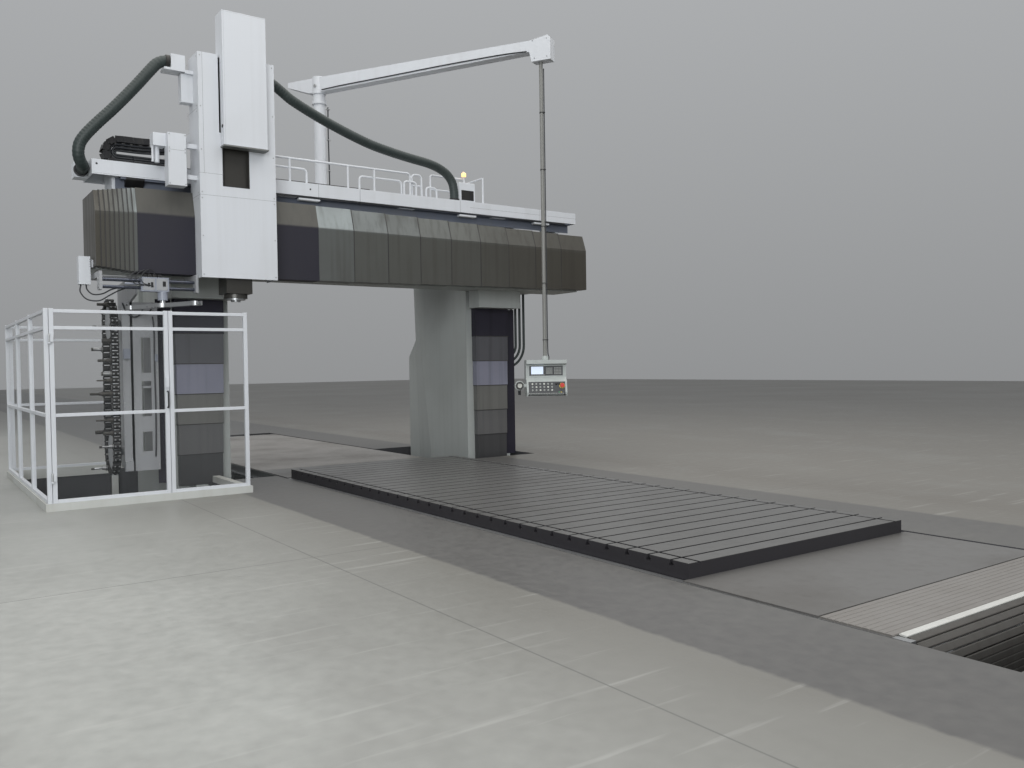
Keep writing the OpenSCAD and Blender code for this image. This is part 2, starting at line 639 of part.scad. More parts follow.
// Saddle casting with the square ram guide, its nut on the traverse screw and the ram screw motor
ram_y = -saddle_front + 65 + ram_w / 2;
saddle_rear = way_face - slide_gap;
saddle_low = rail_bottom + 10;
saddle_cast_top = rail_top - 10;
ram_screw_x = ram_w / 2 + 100;
ram_screw_r = 25;
motor_top = saddle_cast_top + 340;
module saddle() {
  color(GREY_GREEN) translate([-saddle_x, 0, 0]) difference() {
    union() {
      span(about(0, saddle_w / 2 - sheet - seat_gap), [-saddle_front + sheet + seat_gap, saddle_rear], [up(saddle_low), up(saddle_cast_top)]);
      span([-150, 150], [saddle_rear - eps, rail_face - 6], about(up(screw_z), 85));
      span(about(ram_screw_x, 80), about(ram_y, 80), [up(saddle_cast_top) - eps, up(motor_top)]);
    }
    span(about(0, ram_w / 2 + slide_gap), about(ram_y, ram_w / 2 + slide_gap), [up(saddle_low) - eps, up(saddle_cast_top) + eps]);
    bar_x([-200, screw_x_y, up(screw_z)], 400, traverse_screw_r + bore_gap);
    bar_z([ram_screw_x, ram_y, up(motor_top - 120)], 121, ram_screw_r + bore_gap);
  }
}

// Ram screw beside the ram
module ram_screw() {
  color(STEEL) bar_z([-saddle_x + ram_screw_x, ram_y, up(motor_top - 118)], saddle_top - 40 - motor_top + 118, ram_screw_r);
}

// Saddle housing: folded sheet round the ram with a window, a slot for the ram cover, cabinet and brackets
housing_rear = -way_face + 55;
ram_cover_x = [-235, 365];
ram_cover_low = 4683;
window_x = [-220, 150];
window_z = 4150;
slot_z = ram_cover_low + 190;
module saddle_housing() {
  color(WHITE) translate([-saddle_x, 0, 0]) {
    difference() {
      span([-saddle_w / 2, saddle_w / 2], [-saddle_front, -housing_rear], [up(rail_bottom - 50), up(saddle_top)]);
      span([-saddle_w / 2 + sheet, saddle_w / 2 - sheet], [-saddle_front + sheet, -housing_rear + eps],
        [up(rail_bottom - 50) - eps, up(walk_bottom - 60)]);
      span([-saddle_w / 2 + sheet, saddle_w / 2 - sheet], [-saddle_front + sheet, -housing_rear - sheet],
        [up(walk_bottom - 60) - eps, up(saddle_top) - sheet]);
      span(window_x, [-saddle_front - eps, -saddle_front + sheet + eps], [up(window_z), up(slot_z) + eps]);
      span(ram_cover_x + [-20, 20], [-saddle_front - eps, ram_y - ram_w / 2 + 100], [up(slot_z), up(saddle_top) + eps]);
    }
    // Front edges folded back round the slot
    for (x = ram_cover_x + [-23, 20]) span([x, x + sheet], [-saddle_front, -saddle_front + 120], [up(slot_z), up(saddle_top)]);
    saddle_cabinet();
    hose_bracket();
    // Arm over the deck that leads the energy chain
    span([-500, -420], [-housing_rear - eps, -330], [chain_arm_z - 55, chain_arm_z + 55]);
  }
}
cabinet_x = -676;
chain_arm_z = up(walk_bottom + walk_h + 457);
module saddle_cabinet() {
  span(at(cabinet_x, [-236, 0]), [-1300, -1110], [up(4113), up(4807)]);
  span([cabinet_x - eps, -saddle_w / 2 + eps], [-1240, -1170], [up(4640), up(4700)]);
  span([cabinet_x - eps, -saddle_w / 2 + eps], [-1240, -1170], [up(4220), up(4280)]);
  span(at(cabinet_x, [-395, -235]), [-1180, -1000], [up(4640), up(4810)]);
  bar_z([cabinet_x - 330, -1090, up(4430)], 211, 32);
  bar_z([cabinet_x - 390, -1120, up(4430)], 211, 16);
}
module hose_bracket() {
  span([-634, -saddle_w / 2 + eps], [-1160, -940], [up(5666), up(5711)]);
  span([-900, -633], [-1160, -940], [up(5680), up(5711)]);
  span([-809, -628], [-1150, -950], [up(5710), up(5903)]);
  span([-680, -saddle_w / 2 + eps], [-1120, -980], [up(5284), up(5667)]);
}

// Ram with its head block and the nut of the ram screw
ram_top = ram_bottom + ram_l;
spindle_r = 100;
spindle_l = 640;
module ram() {
  color(STEEL) translate([-saddle_x, ram_y, 0]) difference() {
    union() {
      span(about(0, ram_w / 2), about(0, ram_w / 2), [up(ram_bottom), up(ram_top)]);
      bar_z([0, 0, up(ram_bottom - 60)], 61, spindle_r + 60);
      span([ram_w / 2 - eps, ram_screw_x + 50], [-50, 50], [up(ram_top - 90), up(ram_top - 10)]);
    }
    bar_z([0, 0, up(ram_bottom - 60) - eps], spindle_l, spindle_r + bore_gap);
    bar_z([ram_screw_x, 0, up(ram_top - 90) - eps], 90, ram_screw_r + bore_gap);
  }
}

// Ram cover: folded sheet that rides on the ram head, deep at the top and shallow in front of the saddle
cover_deep = saddle_front - 150;
ram_cover_top = 6493;
ram_front_gap = 7;
cover_step_z = ram_top + seat_gap;
function ram_cover_side(d) = [[-saddle_front - 146 + d, up(ram_cover_low) + d], [-saddle_front - ram_front_gap - d, up(ram_cover_low) + d],
  [-saddle_front - ram_front_gap - d, up(cover_step_z) + d], [-cover_deep - d, up(cover_step_z) + d],
  [-cover_deep - d, up(ram_cover_top) - d], [-saddle_front - 146 + d, up(ram_cover_top) - d]];
module ram_cover() {
  color(WHITE) translate([-saddle_x, 0, 0]) {
    difference() {
      x_prism(ram_cover_x, ram_cover_side(0));
      x_prism(ram_cover_x + [sheet, -sheet], ram_cover_side(sheet));
    }
    span(ram_cover_x + [-8, 8], [-saddle_front - 165, -saddle_front - ram_front_gap], [up(ram_cover_low - 16), up(ram_cover_low)]);
  }
}

// Spindle: turned nose with a 7 in 24 taper, four tapped holes and two drive keys
taper_r = 34.925;
taper_l = 101;
nose_pcd = 101.6;
nose_low = ram_bottom - 100;
module spindle() {
  color(STEEL) translate([-saddle_x, ram_y, 0]) {
    difference() {
      union() {
        bar_z([0, 0, up(nose_low)], 60, nose_r);
        bar_z([0, 0, up(nose_low + 40 - 20 - slide_gap)], 20, spindle_r + 30);
        bar_z([0, 0, up(nose_low + 38)], spindle_l - 60, spindle_r);
      }
      translate([0, 0, up(nose_low) - eps])
        cylinder(h = taper_l, r1 = taper_r, r2 = taper_r - taper_l * 7 / 48, $fn = 48);
      for (a = [45:90:315]) rotate(a) bar_z([nose_pcd / 2, 0, up(nose_low) - eps], 26, 6);
    }
    for (a = [0, 180]) rotate(a) span([taper_r + 4, nose_r - 2], [-12.7, 12.7], [up(nose_low - 8), up(nose_low) + eps]);
  }
}

// Tube through chosen points, with m sides
function unit(v) = v / norm(v);
function tangent(p, i) = unit(p[min(i + 1, len(p) - 1)] - p[max(i - 1, 0)]);
module tube_along(p, r, m = 10) {
  rings = [for (i = [0:len(p) - 1]) let (t = tangent(p, i), u = unit(cross(t, [0.13, 0.99, 0.05])), v = cross(t, u))
    for (j = [0:m - 1]) p[i] + r * (u * cos(360 * j / m) + v * sin(360 * j / m))];
  n = len(p);
  faces = concat([[for (j = [0:m - 1]) j]], [[for (j = [m - 1:-1:0]) (n - 1) * m + j]],
    [for (i = [0:n - 2], j = [0:m - 1]) [i * m + j, (i + 1) * m + j, (i + 1) * m + (j + 1) % m, i * m + (j + 1) % m]]);
  polyhedron(points = rings, faces = faces);
}

// Two large hoses and the energy chain that follow the saddle
hose_r = 75;
left_hose = [[-3189.3, -1050, 5815], [-3330, -1050, 5815], [-3480, -1040, 5750], [-3640, -1020, 5560], [-3800, -1000, 5340],
  [-3960, -990, 5170], [-4110, -985, 5000], [-4240, -980, 4850], [-4330, -980, 4690], [-4360, -980, 4520],
  [-4330, -950, 4420], [-4280, -880, 4350], [-4234, -760, 4333], [-4234, -560.3, 4333]];
right_hose = [[-1854.7, -1040, 5812], [-1640, -1040, 5812], [-1280, -940, 5640], [-920, -880, 5480], [-540, -820, 5330],
  [-146, -760, 5200], [250, -720, 5110], [620, -700, 5050], [888, -700, 5010], [1140, -700, 4960], [1330, -700, 4880],
  [1460, -700, 4770], [1530, -700, 4640], [1535, -700, 4540], [1535, -700, 4439.3]];
function lift(p) = [for (q = p) [q[0], q[1], q[2] + pit_depth]];
chain_low_z = walk_bottom + walk_h;
module saddle_cables() {
  color(DARK) {
    tube_along(lift(left_hose), hose_r);
    tube_along(lift(right_hose), hose_r);
    energy_chain();
  }
}
link_w = 230;
module energy_chain() {
  // Lower run on the deck, half round at the left, upper run back to the saddle
  c = [-3800, up(chain_low_z + 250)];
  y = [-560, -560 + link_w];
  end = -saddle_x - 500 - seat_gap;
  y_prism(y, concat([[0, c[1] - 250], [c[0], c[1] - 250]], arc(c, 250, 270, 90, 16), [[end, c[1] + 250], [end, c[1] + 160]],
    arc(c, 160, 90, 270, 16), [[0, c[1] - 160]]));
}

// Walkway beam on the crossrail, with boxes, brackets, lights and the beacon lamp
walk_x = [-4154, 4002];
walk_y = [-900, -230];
walk_top = walk_bottom + walk_h;
module walkway() {
  color(WHITE) {
    for (x = [[walk_x[0], -336], [-330, walk_x[1]]]) difference() {
      span(x, walk_y, [up(walk_bottom), up(walk_top)]);
      span(x + [12, -12], walk_y + [12, -12], [up(walk_bottom) - eps, up(walk_top - 12)]);
    }
    for (i = [0:8]) span(about(walk_x[0] + 300 + i * 940, 40), [-780, -300], [up(rail_top - 30), up(walk_top - 12) + eps]);
    for (x = [-1500, 500, 2300]) span(about(x, 140), [-880, -790], [up(walk_bottom - 34), up(walk_top - 12) + eps]);
    span([1700, 1900], [-640, -440], [up(walk_top) - eps, up(walk_top + 200)]);
    bar_z([1960, -300, up(walk_top) - eps], 560, 14);
    bar_z([1960, -300, up(walk_top + 558)], 70, 38);
    span([-4330, -4190], [-840, -700], [up(2789), up(3156)]);
    span([-4191, -rail_half], [-800, -740], [up(3020), up(3120)]);
    // Clamp posts that hold the ends of the hoses on the deck
    span([walk_x[0] - 158, walk_x[0] + 12], [-560, -360], [up(walk_bottom), up(walk_top)]);
    span([1440, 1630], [-800, -600], [up(walk_top) - eps, up(walk_top + 8)]);
  }
}

// Guard rails: round tube with rounded ends
guard_r = 17;
module hoop(x0, x1, z, y, bend) {
  // Posts at both ends joined by a top rail with round corners
  bar_x([x0 + bend, y, up(z)], x1 - x0 - 2 * bend, guard_r);
  for (e = [[x0, 1], [x1, -1]]) {
    bar_z([e[0], y, up(walk_top)], z - walk_top - bend, guard_r);
    translate([e[0] + e[1] * bend, y, up(z) - bend]) rotate([90, 0, 0]) rotate(e[1] > 0 ? 90 : 0)
      rotate_extrude(angle = 90) translate([bend, 0]) circle(r = guard_r);
  }
}
module handrails() {
  color(WHITE) {
    front = -870;
    hoop(-1760, 570, walk_top + guard_h, front, 60);
    for (x = [-1455, -520, -70]) bar_z([x, front, up(walk_top)], guard_h, guard_r);
    hoop(-1740, -1180, walk_top + guard_h * 0.62, front + 2 * guard_r, 60);
    hoop(-310, 430, walk_top + guard_h * 0.62, front + 2 * guard_r, 60);
    hoop(460, 680, walk_top + guard_h * 0.62, front - 0, 50);
    hoop(620, 800, walk_top + guard_h, front + 2 * guard_r, 60);
    for (x = [700, 980]) {
      hoop(x, x + 200, walk_top + guard_h * 0.6, front + 200, 60);
    }
    hoop(1300, 1990, walk_top + guard_h * 1.5, -260, 40);
    bar_x([1300, -260, up(walk_top + guard_h * 0.8)], 690, guard_r * 0.8);
    bar_y([1990, -860, up(walk_top + guard_h * 1.25)], 600, guard_r * 0.8);
    bar_z([1990, -860, up(walk_top)], guard_h * 1.25 + 10, guard_r);
  }
}

// Hoses that hang from the crossrail end to the right column
side_hose_r = 24;
side_hose_y = 100;
side_hose_z = up(2030);
side_hose_top = up(rail_bottom + 50);
module column_hoses() {
  color(DARK) for (i = [0:3]) {
    bend = 130 + i * 95;
    x = column_out + 14 + bend;
    bar_z([x, side_hose_y, side_hose_z], side_hose_top - side_hose_z, side_hose_r);
    translate([x - bend, side_hose_y, side_hose_z]) rotate([-90, 0, 0])
      rotate_extrude(angle = 90) translate([bend, 0]) circle(r = side_hose_r);
    bar_x([column_out, side_hose_y, side_hose_z - bend], 14, side_hose_r);
    bar_z([x, side_hose_y, side_hose_top - 50], 50, side_hose_r + 10);
  }
}

// Jib: mast on the top beam, boom with tail, drop pole and pendant
boom_y0 = mast_y;
boom_dir = [cos(boom_turn), -sin(boom_turn)];
module jib_mast() {
  color(WHITE) difference() {
    union() {
      bar_z([0, mast_y, beam_z[1]], up(boom_h - 150) - beam_z[1], mast_r);
      bar_z([0, mast_y, beam_z[1]], 40, mast_r + 90);
      bar_z([0, mast_y, up(boom_h - 330)], 60, mast_r + 22);
      for (a = [0:60:300]) translate([0, mast_y, 0]) rotate(a) span([mast_r - 5, mast_r + 80], [-6, 6], [beam_z[1] + 39, beam_z[1] + 180]);
      bar_z([0, mast_y, up(boom_h - 151)], 120, 45);
    }
  }
}
module boom_frame() {
  translate([0, mast_y, up(boom_h)]) rotate(-boom_turn) children();
}
head_z = [-300, 180];
module jib_boom() {
  color(WHITE) boom_frame() difference() {
    union() {
      x_half = 90;
      rotate([90, 0, 0]) translate([0, 0, -x_half]) linear_extrude(2 * x_half)
        polygon([[-620, 40], [-620, 130], [250, 130], [boom_l - 150, 86], [boom_l + 150, 130], [boom_l + 200, 90],
          [boom_l + 200, -250], [boom_l - 120, -250], [boom_l - 160, -86], [250, -125], [-150, -125]]);
      bar_z([0, 0, -150 + seat_gap], 300, mast_r + 15);
    }
    bar_z([0, 0, -152], 150, 45 + bore_gap);
    bar_z([boom_l, 0, -251], 180, 30 + bore_gap);
  }
}

// Pendant: drop pole, hood, housing with screen, key panels and a bracket for the hand wheel
pole_r = 30;
pendant_z = pendant_h - boom_h;
pendant_hh = 285;
pendant_back = 150;
module pendant_frame() {
  // At rest the panel faces the front of the machine
  boom_frame() translate([boom_l, 0, pendant_z]) rotate(boom_turn - 30) children();
}
module pendant() {
  color(WHITE) pendant_frame() {
    bar_z([0, 0, pendant_hh - eps], -pendant_z - pendant_hh - 80 + eps, pole_r);
    bar_z([0, 0, pendant_hh - eps], 60, 55);
    difference() {
      // Housing section: sloping face below a projecting hood
      x_prism(about(0, pendant_w / 2), [[pendant_back, -pendant_hh + 60], [pendant_back, pendant_hh - 40], [pendant_back - 40, pendant_hh],
        [-190, pendant_hh], [-190, pendant_hh - 60], [-100, pendant_hh - 80], [-100, 10], [-170, -60], [-210, -pendant_hh + 60],
        [-200, -pendant_hh], [80, -pendant_hh]]);
      span([-pendant_w / 2 + 60, pendant_w / 2 - 60], [-120, -94], [40, pendant_hh - 110]);
      key_frame() bar_z([stop_place[0], stop_place[1], -20], 38, 20 + bore_gap);
    }
    span([-pendant_w / 2 + 66, 110], [-97, -90], [50, pendant_hh - 120]);
    key_frame() for (k = key_places) bar_z([k[0], k[1], -9], 15, 14);
    difference() {
      union() {
        span([-pendant_w / 2 - 130, -pendant_w / 2 + eps], [-150, -100], [-140, -90]);
        bar_y([-pendant_w / 2 - 110, -150, -115], 50, 75);
      }
      bar_y([-pendant_w / 2 - 110, -151, -115], 30, 14 + bore_gap);
    }
  }
}
// Frame on the sloping key panel: X along the panel, Y up the slope, Z out of it
module key_frame() {
  translate([0, -190, -pendant_hh / 2]) rotate([76.4, 0, 0]) children();
}
key_places = [for (r = [0:2], c = [0:5]) [-pendant_w / 2 + 90 + c * 62, 50 - r * 50]];
stop_place = [pendant_w / 2 - 80, 20];
module stop_button() {
  color([0.75, 0.1, 0.08]) pendant_frame() key_frame() {
    bar_z([stop_place[0], stop_place[1], -9], 26, 20);
    bar_z([stop_place[0], stop_place[1], 16], 22, 34);
  }
}
module hand_wheel() {
  color(DARK) pendant_frame() translate([-pendant_w / 2 - 110, -150, -115]) {
    bar_y([0, -20, 0], 45, 14);
    bar_y([0, -45, 0], 26, 60);
    bar_y([0, -75, 42], 31, 9);
  }
}

// Magazine frame: plate with cut-outs below the crossrail, sprocket arms and guide bars
chain_y = -170 + chain_r;
frame_x = [-chain_x + 190, -chain_x + 226];
bar_end = [-4150, -2910];
bar_z_s = [2745, 2840];
module magazine_frame() {
  color(GREY_GREEN) {
    difference() {
      union() {
        x_prism(frame_x, [[-600, up(rail_bottom + 50)], [-600, up(2700)], [-240, up(2620)], [-240, up(230)], [chain_y + 420, up(230)],
          [chain_y + 420, up(2900)], [rail_rear - 10, up(2960)], [rail_rear - 10, up(rail_bottom + 50)]]);
        // Facing plate seen from the front, with cut-outs
        y_prism([-240, -215], [[-chain_x + 225, up(230)], [-3230, up(230)], [-3230, up(2620)], [-chain_x + 225, up(2620)]]);
        span([-3260, -3230], [-240, chain_y + 420], [up(230), up(2620)]);
        for (z = [250, 1400, 2550]) span([frame_x[1] - eps, -3231], [-216, chain_y + 420], [up(z), up(z + 30)]);
      }
      for (z = [[500, 780], [1000, 1500], [1620, 2120]]) span([-3460, -3330], [-241, -200], [up(z[0]), up(z[1])]);
      for (z = [[500, 1300], [1500, 2450]]) span(frame_x + [-eps, eps], [chain_y - 190, chain_y + 190], [up(z[0] + 180), up(z[1] - 180)]);
    }
    for (z = [chain_low, chain_high]) {
      bar_x([-chain_x - 25, chain_y, up(z)], 216, 60);
      bar_x([-chain_x - 18, chain_y, up(z)], 36, chain_r - 40 - seat_gap);
    }
    // Guide bars for the tool carriage
    for (x = [bar_end[0], bar_end[1] - 35]) {
      span([x, x + 35], [arm_y - 80, arm_y + 80], [up(2700), up(2940)]);
      span([x, x + 35], [arm_y, -600 + eps], [up(2870), up(2940)]);
    }
    span(bar_end, [-600, -560], [up(2870), up(2940)]);
    for (z = bar_z_s) bar_x([bar_end[0] + 34, arm_y, up(z)], bar_end[1] - bar_end[0] - 68, 22);
  }
}

// Tool chain: links and pots round two sprockets
chain_run = chain_high - chain_low;
chain_length = 2 * chain_run + 2 * 3.14159265 * chain_r;
function chain_place(s) = s < chain_run ? [-chain_r, s - chain_run / 2, 90]
  : s < chain_length / 2 ? let (a = 180 - (s - chain_run) / chain_r * 57.29578) [chain_r * cos(a), chain_run / 2 + chain_r * sin(a), a - 90]
  : let (p = chain_place(s - chain_length / 2)) [-p[0], -p[1], p[2] + 180];
module chain_band(x, r) {
  translate([x[0], 0, 0]) rotate([90, 0, 90]) linear_extrude(x[1] - x[0]) {
    for (s = [-1, 1]) translate([0, s * chain_run / 2]) circle(r = r, $fn = 64);
    square([2 * r, chain_run], center = true);
  }
}
module tool_chain() {
  color(DARK) translate([-chain_x, chain_y, up((chain_low + chain_high) / 2)])
    difference() {
      union() {
        for (x = [-52, 40]) difference() {
          chain_band([x, x + 12], chain_r + 14);
          chain_band([x - eps, x + 12 + eps], chain_r - 14);
        }
        for (i = [0:pot_count - 1]) let (p = chain_place(i * chain_length / pot_count), q = chain_place((i + 0.5) * chain_length / pot_count)) {
          bar_x([-41, p[0], p[1]], 82, 40);
          for (x = [-58, 51]) bar_x([x, q[0], q[1]], 7, 9);
        }
      }
      for (i = [0:pot_count - 1]) let (p = chain_place(i * chain_length / pot_count)) bar_x([-60, p[0], p[1]], 80, 27);
    }
}

// Cutting tools: holders with a flange and a cutter, pointing left out of their pots
tool_list = [[1, 120, 16], [3, 60, 24], [5, 150, 12], [6, 40, 30], [9, 90, 20], [11, 130, 10], [12, 70, 26], [14, 110, 18],
  [17, 50, 32], [19, 170, 22], [23, 80, 20], [28, 140, 16], [34, 90, 24], [41, 120, 18], [47, 60, 28], [53, 150, 14]];
module cutting_tools() {
  color(STEEL) translate([-chain_x, chain_y, up((chain_low + chain_high) / 2)])
    for (t = tool_list) let (p = chain_place(t[0] * chain_length / pot_count))
      translate([0, p[0], p[1]]) {
        bar_x([-53, 0, 0], 60, 26);
        bar_x([-72, 0, 0], 20 - seat_gap, 37);
        bar_x([-115, 0, 0], 44, 24);
        bar_x([-114 - t[1], 0, 0], t[1], t[2]);
      }
}

// Tool carriage on the guide bars and the double-ended change arm below it
carriage_x = [-3640, -3290];
arm_x = carriage_x[1] - 70;
arm_y = ram_y;
arm_l = 712;
arm_rest = 25;
arm_z = [2490, 2545];
module tool_carriage() {
  color(GREY_GREEN) difference() {
    union() {
      span(carriage_x, about(arm_y, 60), [up(2697), up(2885)]);
      bar_z([arm_x, arm_y, up(arm_z[1] + 40)], 2700 - arm_z[1] - 40, 65);
      bar_x([carriage_x[0] - 200, arm_y - 42, up(2792)], 201, 14);
    }
    for (z = bar_z_s) bar_x([carriage_x[0] - 210, arm_y, up(z)], 600, 22 + bore_gap);
    bar_z([arm_x, arm_y, up(arm_z[1] + 40) - eps], 120, 35 + bore_gap);
  }
}
module change_arm() {
  color(STEEL) translate([arm_x, arm_y, 0]) rotate(arm_rest) difference() {
    union() {
      bar_z([0, 0, up(arm_z[0])], arm_z[1] - arm_z[0], 95);
      bar_z([0, 0, up(arm_z[1]) - eps], 130, 35);
      span([-45, 45], [-arm_l, arm_l], [up(arm_z[0]), up(arm_z[1])]);
      for (s = [-1, 1]) bar_z([0, s * (arm_l - 70), up(arm_z[0])], arm_z[1] - arm_z[0], 70);
    }
    for (s = [-1, 1]) bar_z([0, s * (arm_l - 70), up(arm_z[0]) - eps], 60, 42);
    for (s = [-1, 1]) span([-28, 28], s > 0 ? [arm_l - 70, arm_l + 20] : [-arm_l - 20, 70 - arm_l], [up(arm_z[0]) - eps, up(arm_z[1]) + eps]);
  }
}

// Kerb frame: channel round the magazine pit on legs, which carries the fence
kerb_w = 100;
kerb_z = [up(-60), up(90)];
kerb_x = [-fence_left - 25, -fence_right + 25];
kerb_y = [-fence_front - 25, fence_rear + 25];
module kerb_frame() {
  color(GREY_GREEN) {
    span([kerb_x[0], kerb_x[0] + kerb_w], kerb_y, kerb_z);
    span([kerb_x[0], kerb_x[1]], [kerb_y[0], kerb_y[0] + kerb_w], kerb_z);
    span([kerb_x[1] - kerb_w, kerb_x[1]], [kerb_y[0], -400], kerb_z);
    span([kerb_x[0], -column_out - 200], [kerb_y[1] - kerb_w, kerb_y[1]], kerb_z);
    for (x = [kerb_x[0], kerb_x[0] + 1200, kerb_x[1] - kerb_w]) span([x, x + kerb_w], [kerb_y[0], kerb_y[0] + kerb_w], [0, kerb_z[1] - eps]);
    for (y = [0, kerb_y[1] - kerb_w]) span([kerb_x[0], kerb_x[0] + kerb_w], [y, y + kerb_w], [0, kerb_z[1] - eps]);
    span([-column_out - 300, -column_out - 200], [kerb_y[1] - kerb_w, kerb_y[1]], [0, kerb_z[1] - eps]);
    // Tie from the rear leg to the column foot
    span([-column_out - 299, -column_out - 160], [column_foot_d - 250, kerb_y[1] - kerb_w + eps], [pad_h + 10, pad_h + 90]);
    span([kerb_x[1] - kerb_w, kerb_x[1]], [-500, -400], [0, kerb_z[1] - eps]);
  }
}

// Fence: square tube frames with clear panels; the left front panel is the door
fence_low = 90;
door_x = [-fence_left + tube + 6, -3481];
bay_x = [-3475, -fence_right];
levels = [fence_low, 1113, fence_h - 250, fence_h - tube];
pane_t = 4;
module frame_x(x, y) {
  for (z = levels) span(x, [y, y + tube], [up(z), up(z + tube * 0.8)]);
  for (px = [x[0], x[1] - tube]) span([px, px + tube], [y, y + tube], [up(fence_low), up(fence_h)]);
  span(x + [tube - 1, 1 - tube], about(y + tube / 2, pane_t / 2), [up(fence_low + 10), up(fence_h - 10)]);
}
module frame_y(x, y) {
  for (z = levels) span([x, x + tube], y, [up(z), up(z + tube * 0.8)]);
  for (py = [y[0], y[1] - tube]) span([x, x + tube], [py, py + tube], [up(fence_low), up(fence_h)]);
  span(about(x + tube / 2, pane_t / 2), y + [tube - 1, 1 - tube], [up(fence_low + 10), up(fence_h - 10)]);
}
// Door hinges: pins on lugs of the corner post, knuckles on the door
hinge_x = (door_x[0] - fence_left + tube) / 2;
hinge_y = -fence_front - 22;
hinge_z = [350, 2000];
pin_r = 8;
module fence() {
  color(WHITE) {
    frame_x(bay_x, -fence_front);
    span([-fence_left, -fence_left + tube], [-fence_front, -fence_front + tube], [up(fence_low), up(fence_h)]);
    for (i = [0:2]) let (step = (fence_rear + fence_front) / 3)
      frame_y(-fence_left, [-fence_front + i * step, -fence_front + (i + 1) * step]);
    frame_x([-fence_left, -column_out - 210], fence_rear - tube);
    for (z = hinge_z) {
      bar_z([hinge_x, hinge_y, up(z)], 100, pin_r);
      bar_z([hinge_x, hinge_y, up(z - 20)], 20, pin_r + 6);
      span([-fence_left + 10, hinge_x], [hinge_y - 5, -fence_front + eps], [up(z - 20), up(z)]);
    }
  }
}
module fence_door() {
  color(WHITE) difference() {
    union() {
      frame_x(door_x, -fence_front);
      for (z = hinge_z) {
        bar_z([hinge_x, hinge_y, up(z) + seat_gap], 80, pin_r + 6);
        span([hinge_x, door_x[0] + 30], [hinge_y - 5, -fence_front + eps], [up(z) + seat_gap, up(z + 80)]);
      }
      // Pull handle and lock case at the free edge
      for (z = [1180, 1380]) bar_y([door_x[1] - tube / 2, -fence_front - 50, up(z)], 51, 9);
      bar_z([door_x[1] - tube / 2, -fence_front - 50, up(1165)], 230, 9);
      span([door_x[1] - tube + 5, door_x[1] - 5], [-fence_front - 30, -fence_front + eps], [up(1430), up(1560)]);
    }
    for (z = hinge_z) bar_z([hinge_x, hinge_y, up(z) - eps], 110, pin_r + bore_gap);
  }
}

levelling_pads();
bed_front();
bed_middle();
bed_rear();
trench_rails();
roller_front();
roller_rear();
apron_front();
apron_rear();
table_drive();
table_pinion();
table();
end_plates();
column_left();
column_right();
top_beam();
lift_drives();
lift_screw_left();
lift_screw_right();
column_cover_1();
column_cover_2();
column_cover_3();
column_cover_4();
column_cover_5();
column_cover_6();
crossrail();
end_covers();
traverse_screw();
walkway();
handrails();
saddle();
saddle_housing();
saddle_wings();
way_cover_1();
way_cover_2();
way_cover_3();
way_cover_4();
way_cover_5();
way_cover_6();
way_cover_7();
way_cover_8();
ram();
ram_cover();
spindle();
ram_screw();
saddle_cables();
column_hoses();
jib_mast();
jib_boom();
pendant();
stop_button();
hand_wheel();
magazine_frame();
tool_chain();
cutting_tools();
tool_carriage();
change_arm();
kerb_frame();
fence();
fence_door();
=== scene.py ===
"""Looks of a bridge-type machining centre: travelling table in a floor pit, crossrail on two
columns, saddle with a vertical ram, tool magazine behind a guard fence, pendant on a jib.

All lengths are metres in the CAD's frame: X right along the crossrail, Y back along the table,
Z up from the pit floor. The shop floor is at FLOOR.
"""
import math

import bpy
import numpy as np
from mathutils import Matrix, Vector


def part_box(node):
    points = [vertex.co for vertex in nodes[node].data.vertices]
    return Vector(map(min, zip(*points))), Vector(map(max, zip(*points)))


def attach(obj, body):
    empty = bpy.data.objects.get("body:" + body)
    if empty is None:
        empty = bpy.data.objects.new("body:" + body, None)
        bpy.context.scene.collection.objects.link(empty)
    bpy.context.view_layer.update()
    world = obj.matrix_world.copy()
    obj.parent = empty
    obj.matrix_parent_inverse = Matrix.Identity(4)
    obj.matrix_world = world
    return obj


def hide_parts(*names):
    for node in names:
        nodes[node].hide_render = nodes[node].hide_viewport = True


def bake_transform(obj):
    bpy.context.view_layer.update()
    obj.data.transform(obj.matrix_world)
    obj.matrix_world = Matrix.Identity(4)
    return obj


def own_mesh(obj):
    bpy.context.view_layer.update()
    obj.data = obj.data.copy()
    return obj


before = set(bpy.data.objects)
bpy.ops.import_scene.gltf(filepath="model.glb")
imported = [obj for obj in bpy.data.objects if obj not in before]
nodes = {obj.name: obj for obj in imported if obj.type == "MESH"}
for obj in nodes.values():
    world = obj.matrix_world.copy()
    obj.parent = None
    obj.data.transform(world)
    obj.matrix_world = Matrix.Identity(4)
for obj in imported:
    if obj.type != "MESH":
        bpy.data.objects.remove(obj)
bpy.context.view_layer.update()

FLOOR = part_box("end_plates")[1].z

# Camera
# A plain perspective fit to the corners of the machine that the photograph shows. The yaw is
# measured from +Y towards +X, and the focal length is in pixels of the picture.
CAMERA_AT = Vector((-6.299, -13.349, 2.883))
YAW, PITCH, ROLL = (math.radians(a) for a in (35.288, -1.172, -0.874))
PICTURE_WIDTH = 1024
FOCAL_PX = 869.2


def camera_rotation(yaw, pitch, roll):
    """Columns are the camera's right, up and backward directions in the world."""
    level_part = math.cos(pitch)
    forward = Vector((math.sin(yaw) * level_part, math.cos(yaw) * level_part, math.sin(pitch)))
    right = Vector((math.cos(yaw), -math.sin(yaw), 0))
    up = right.cross(forward)
    tilted_right = math.cos(roll) * right + math.sin(roll) * up
    tilted_up = math.cos(roll) * up - math.sin(roll) * right
    return Matrix((tilted_right, tilted_up, -forward)).transposed()


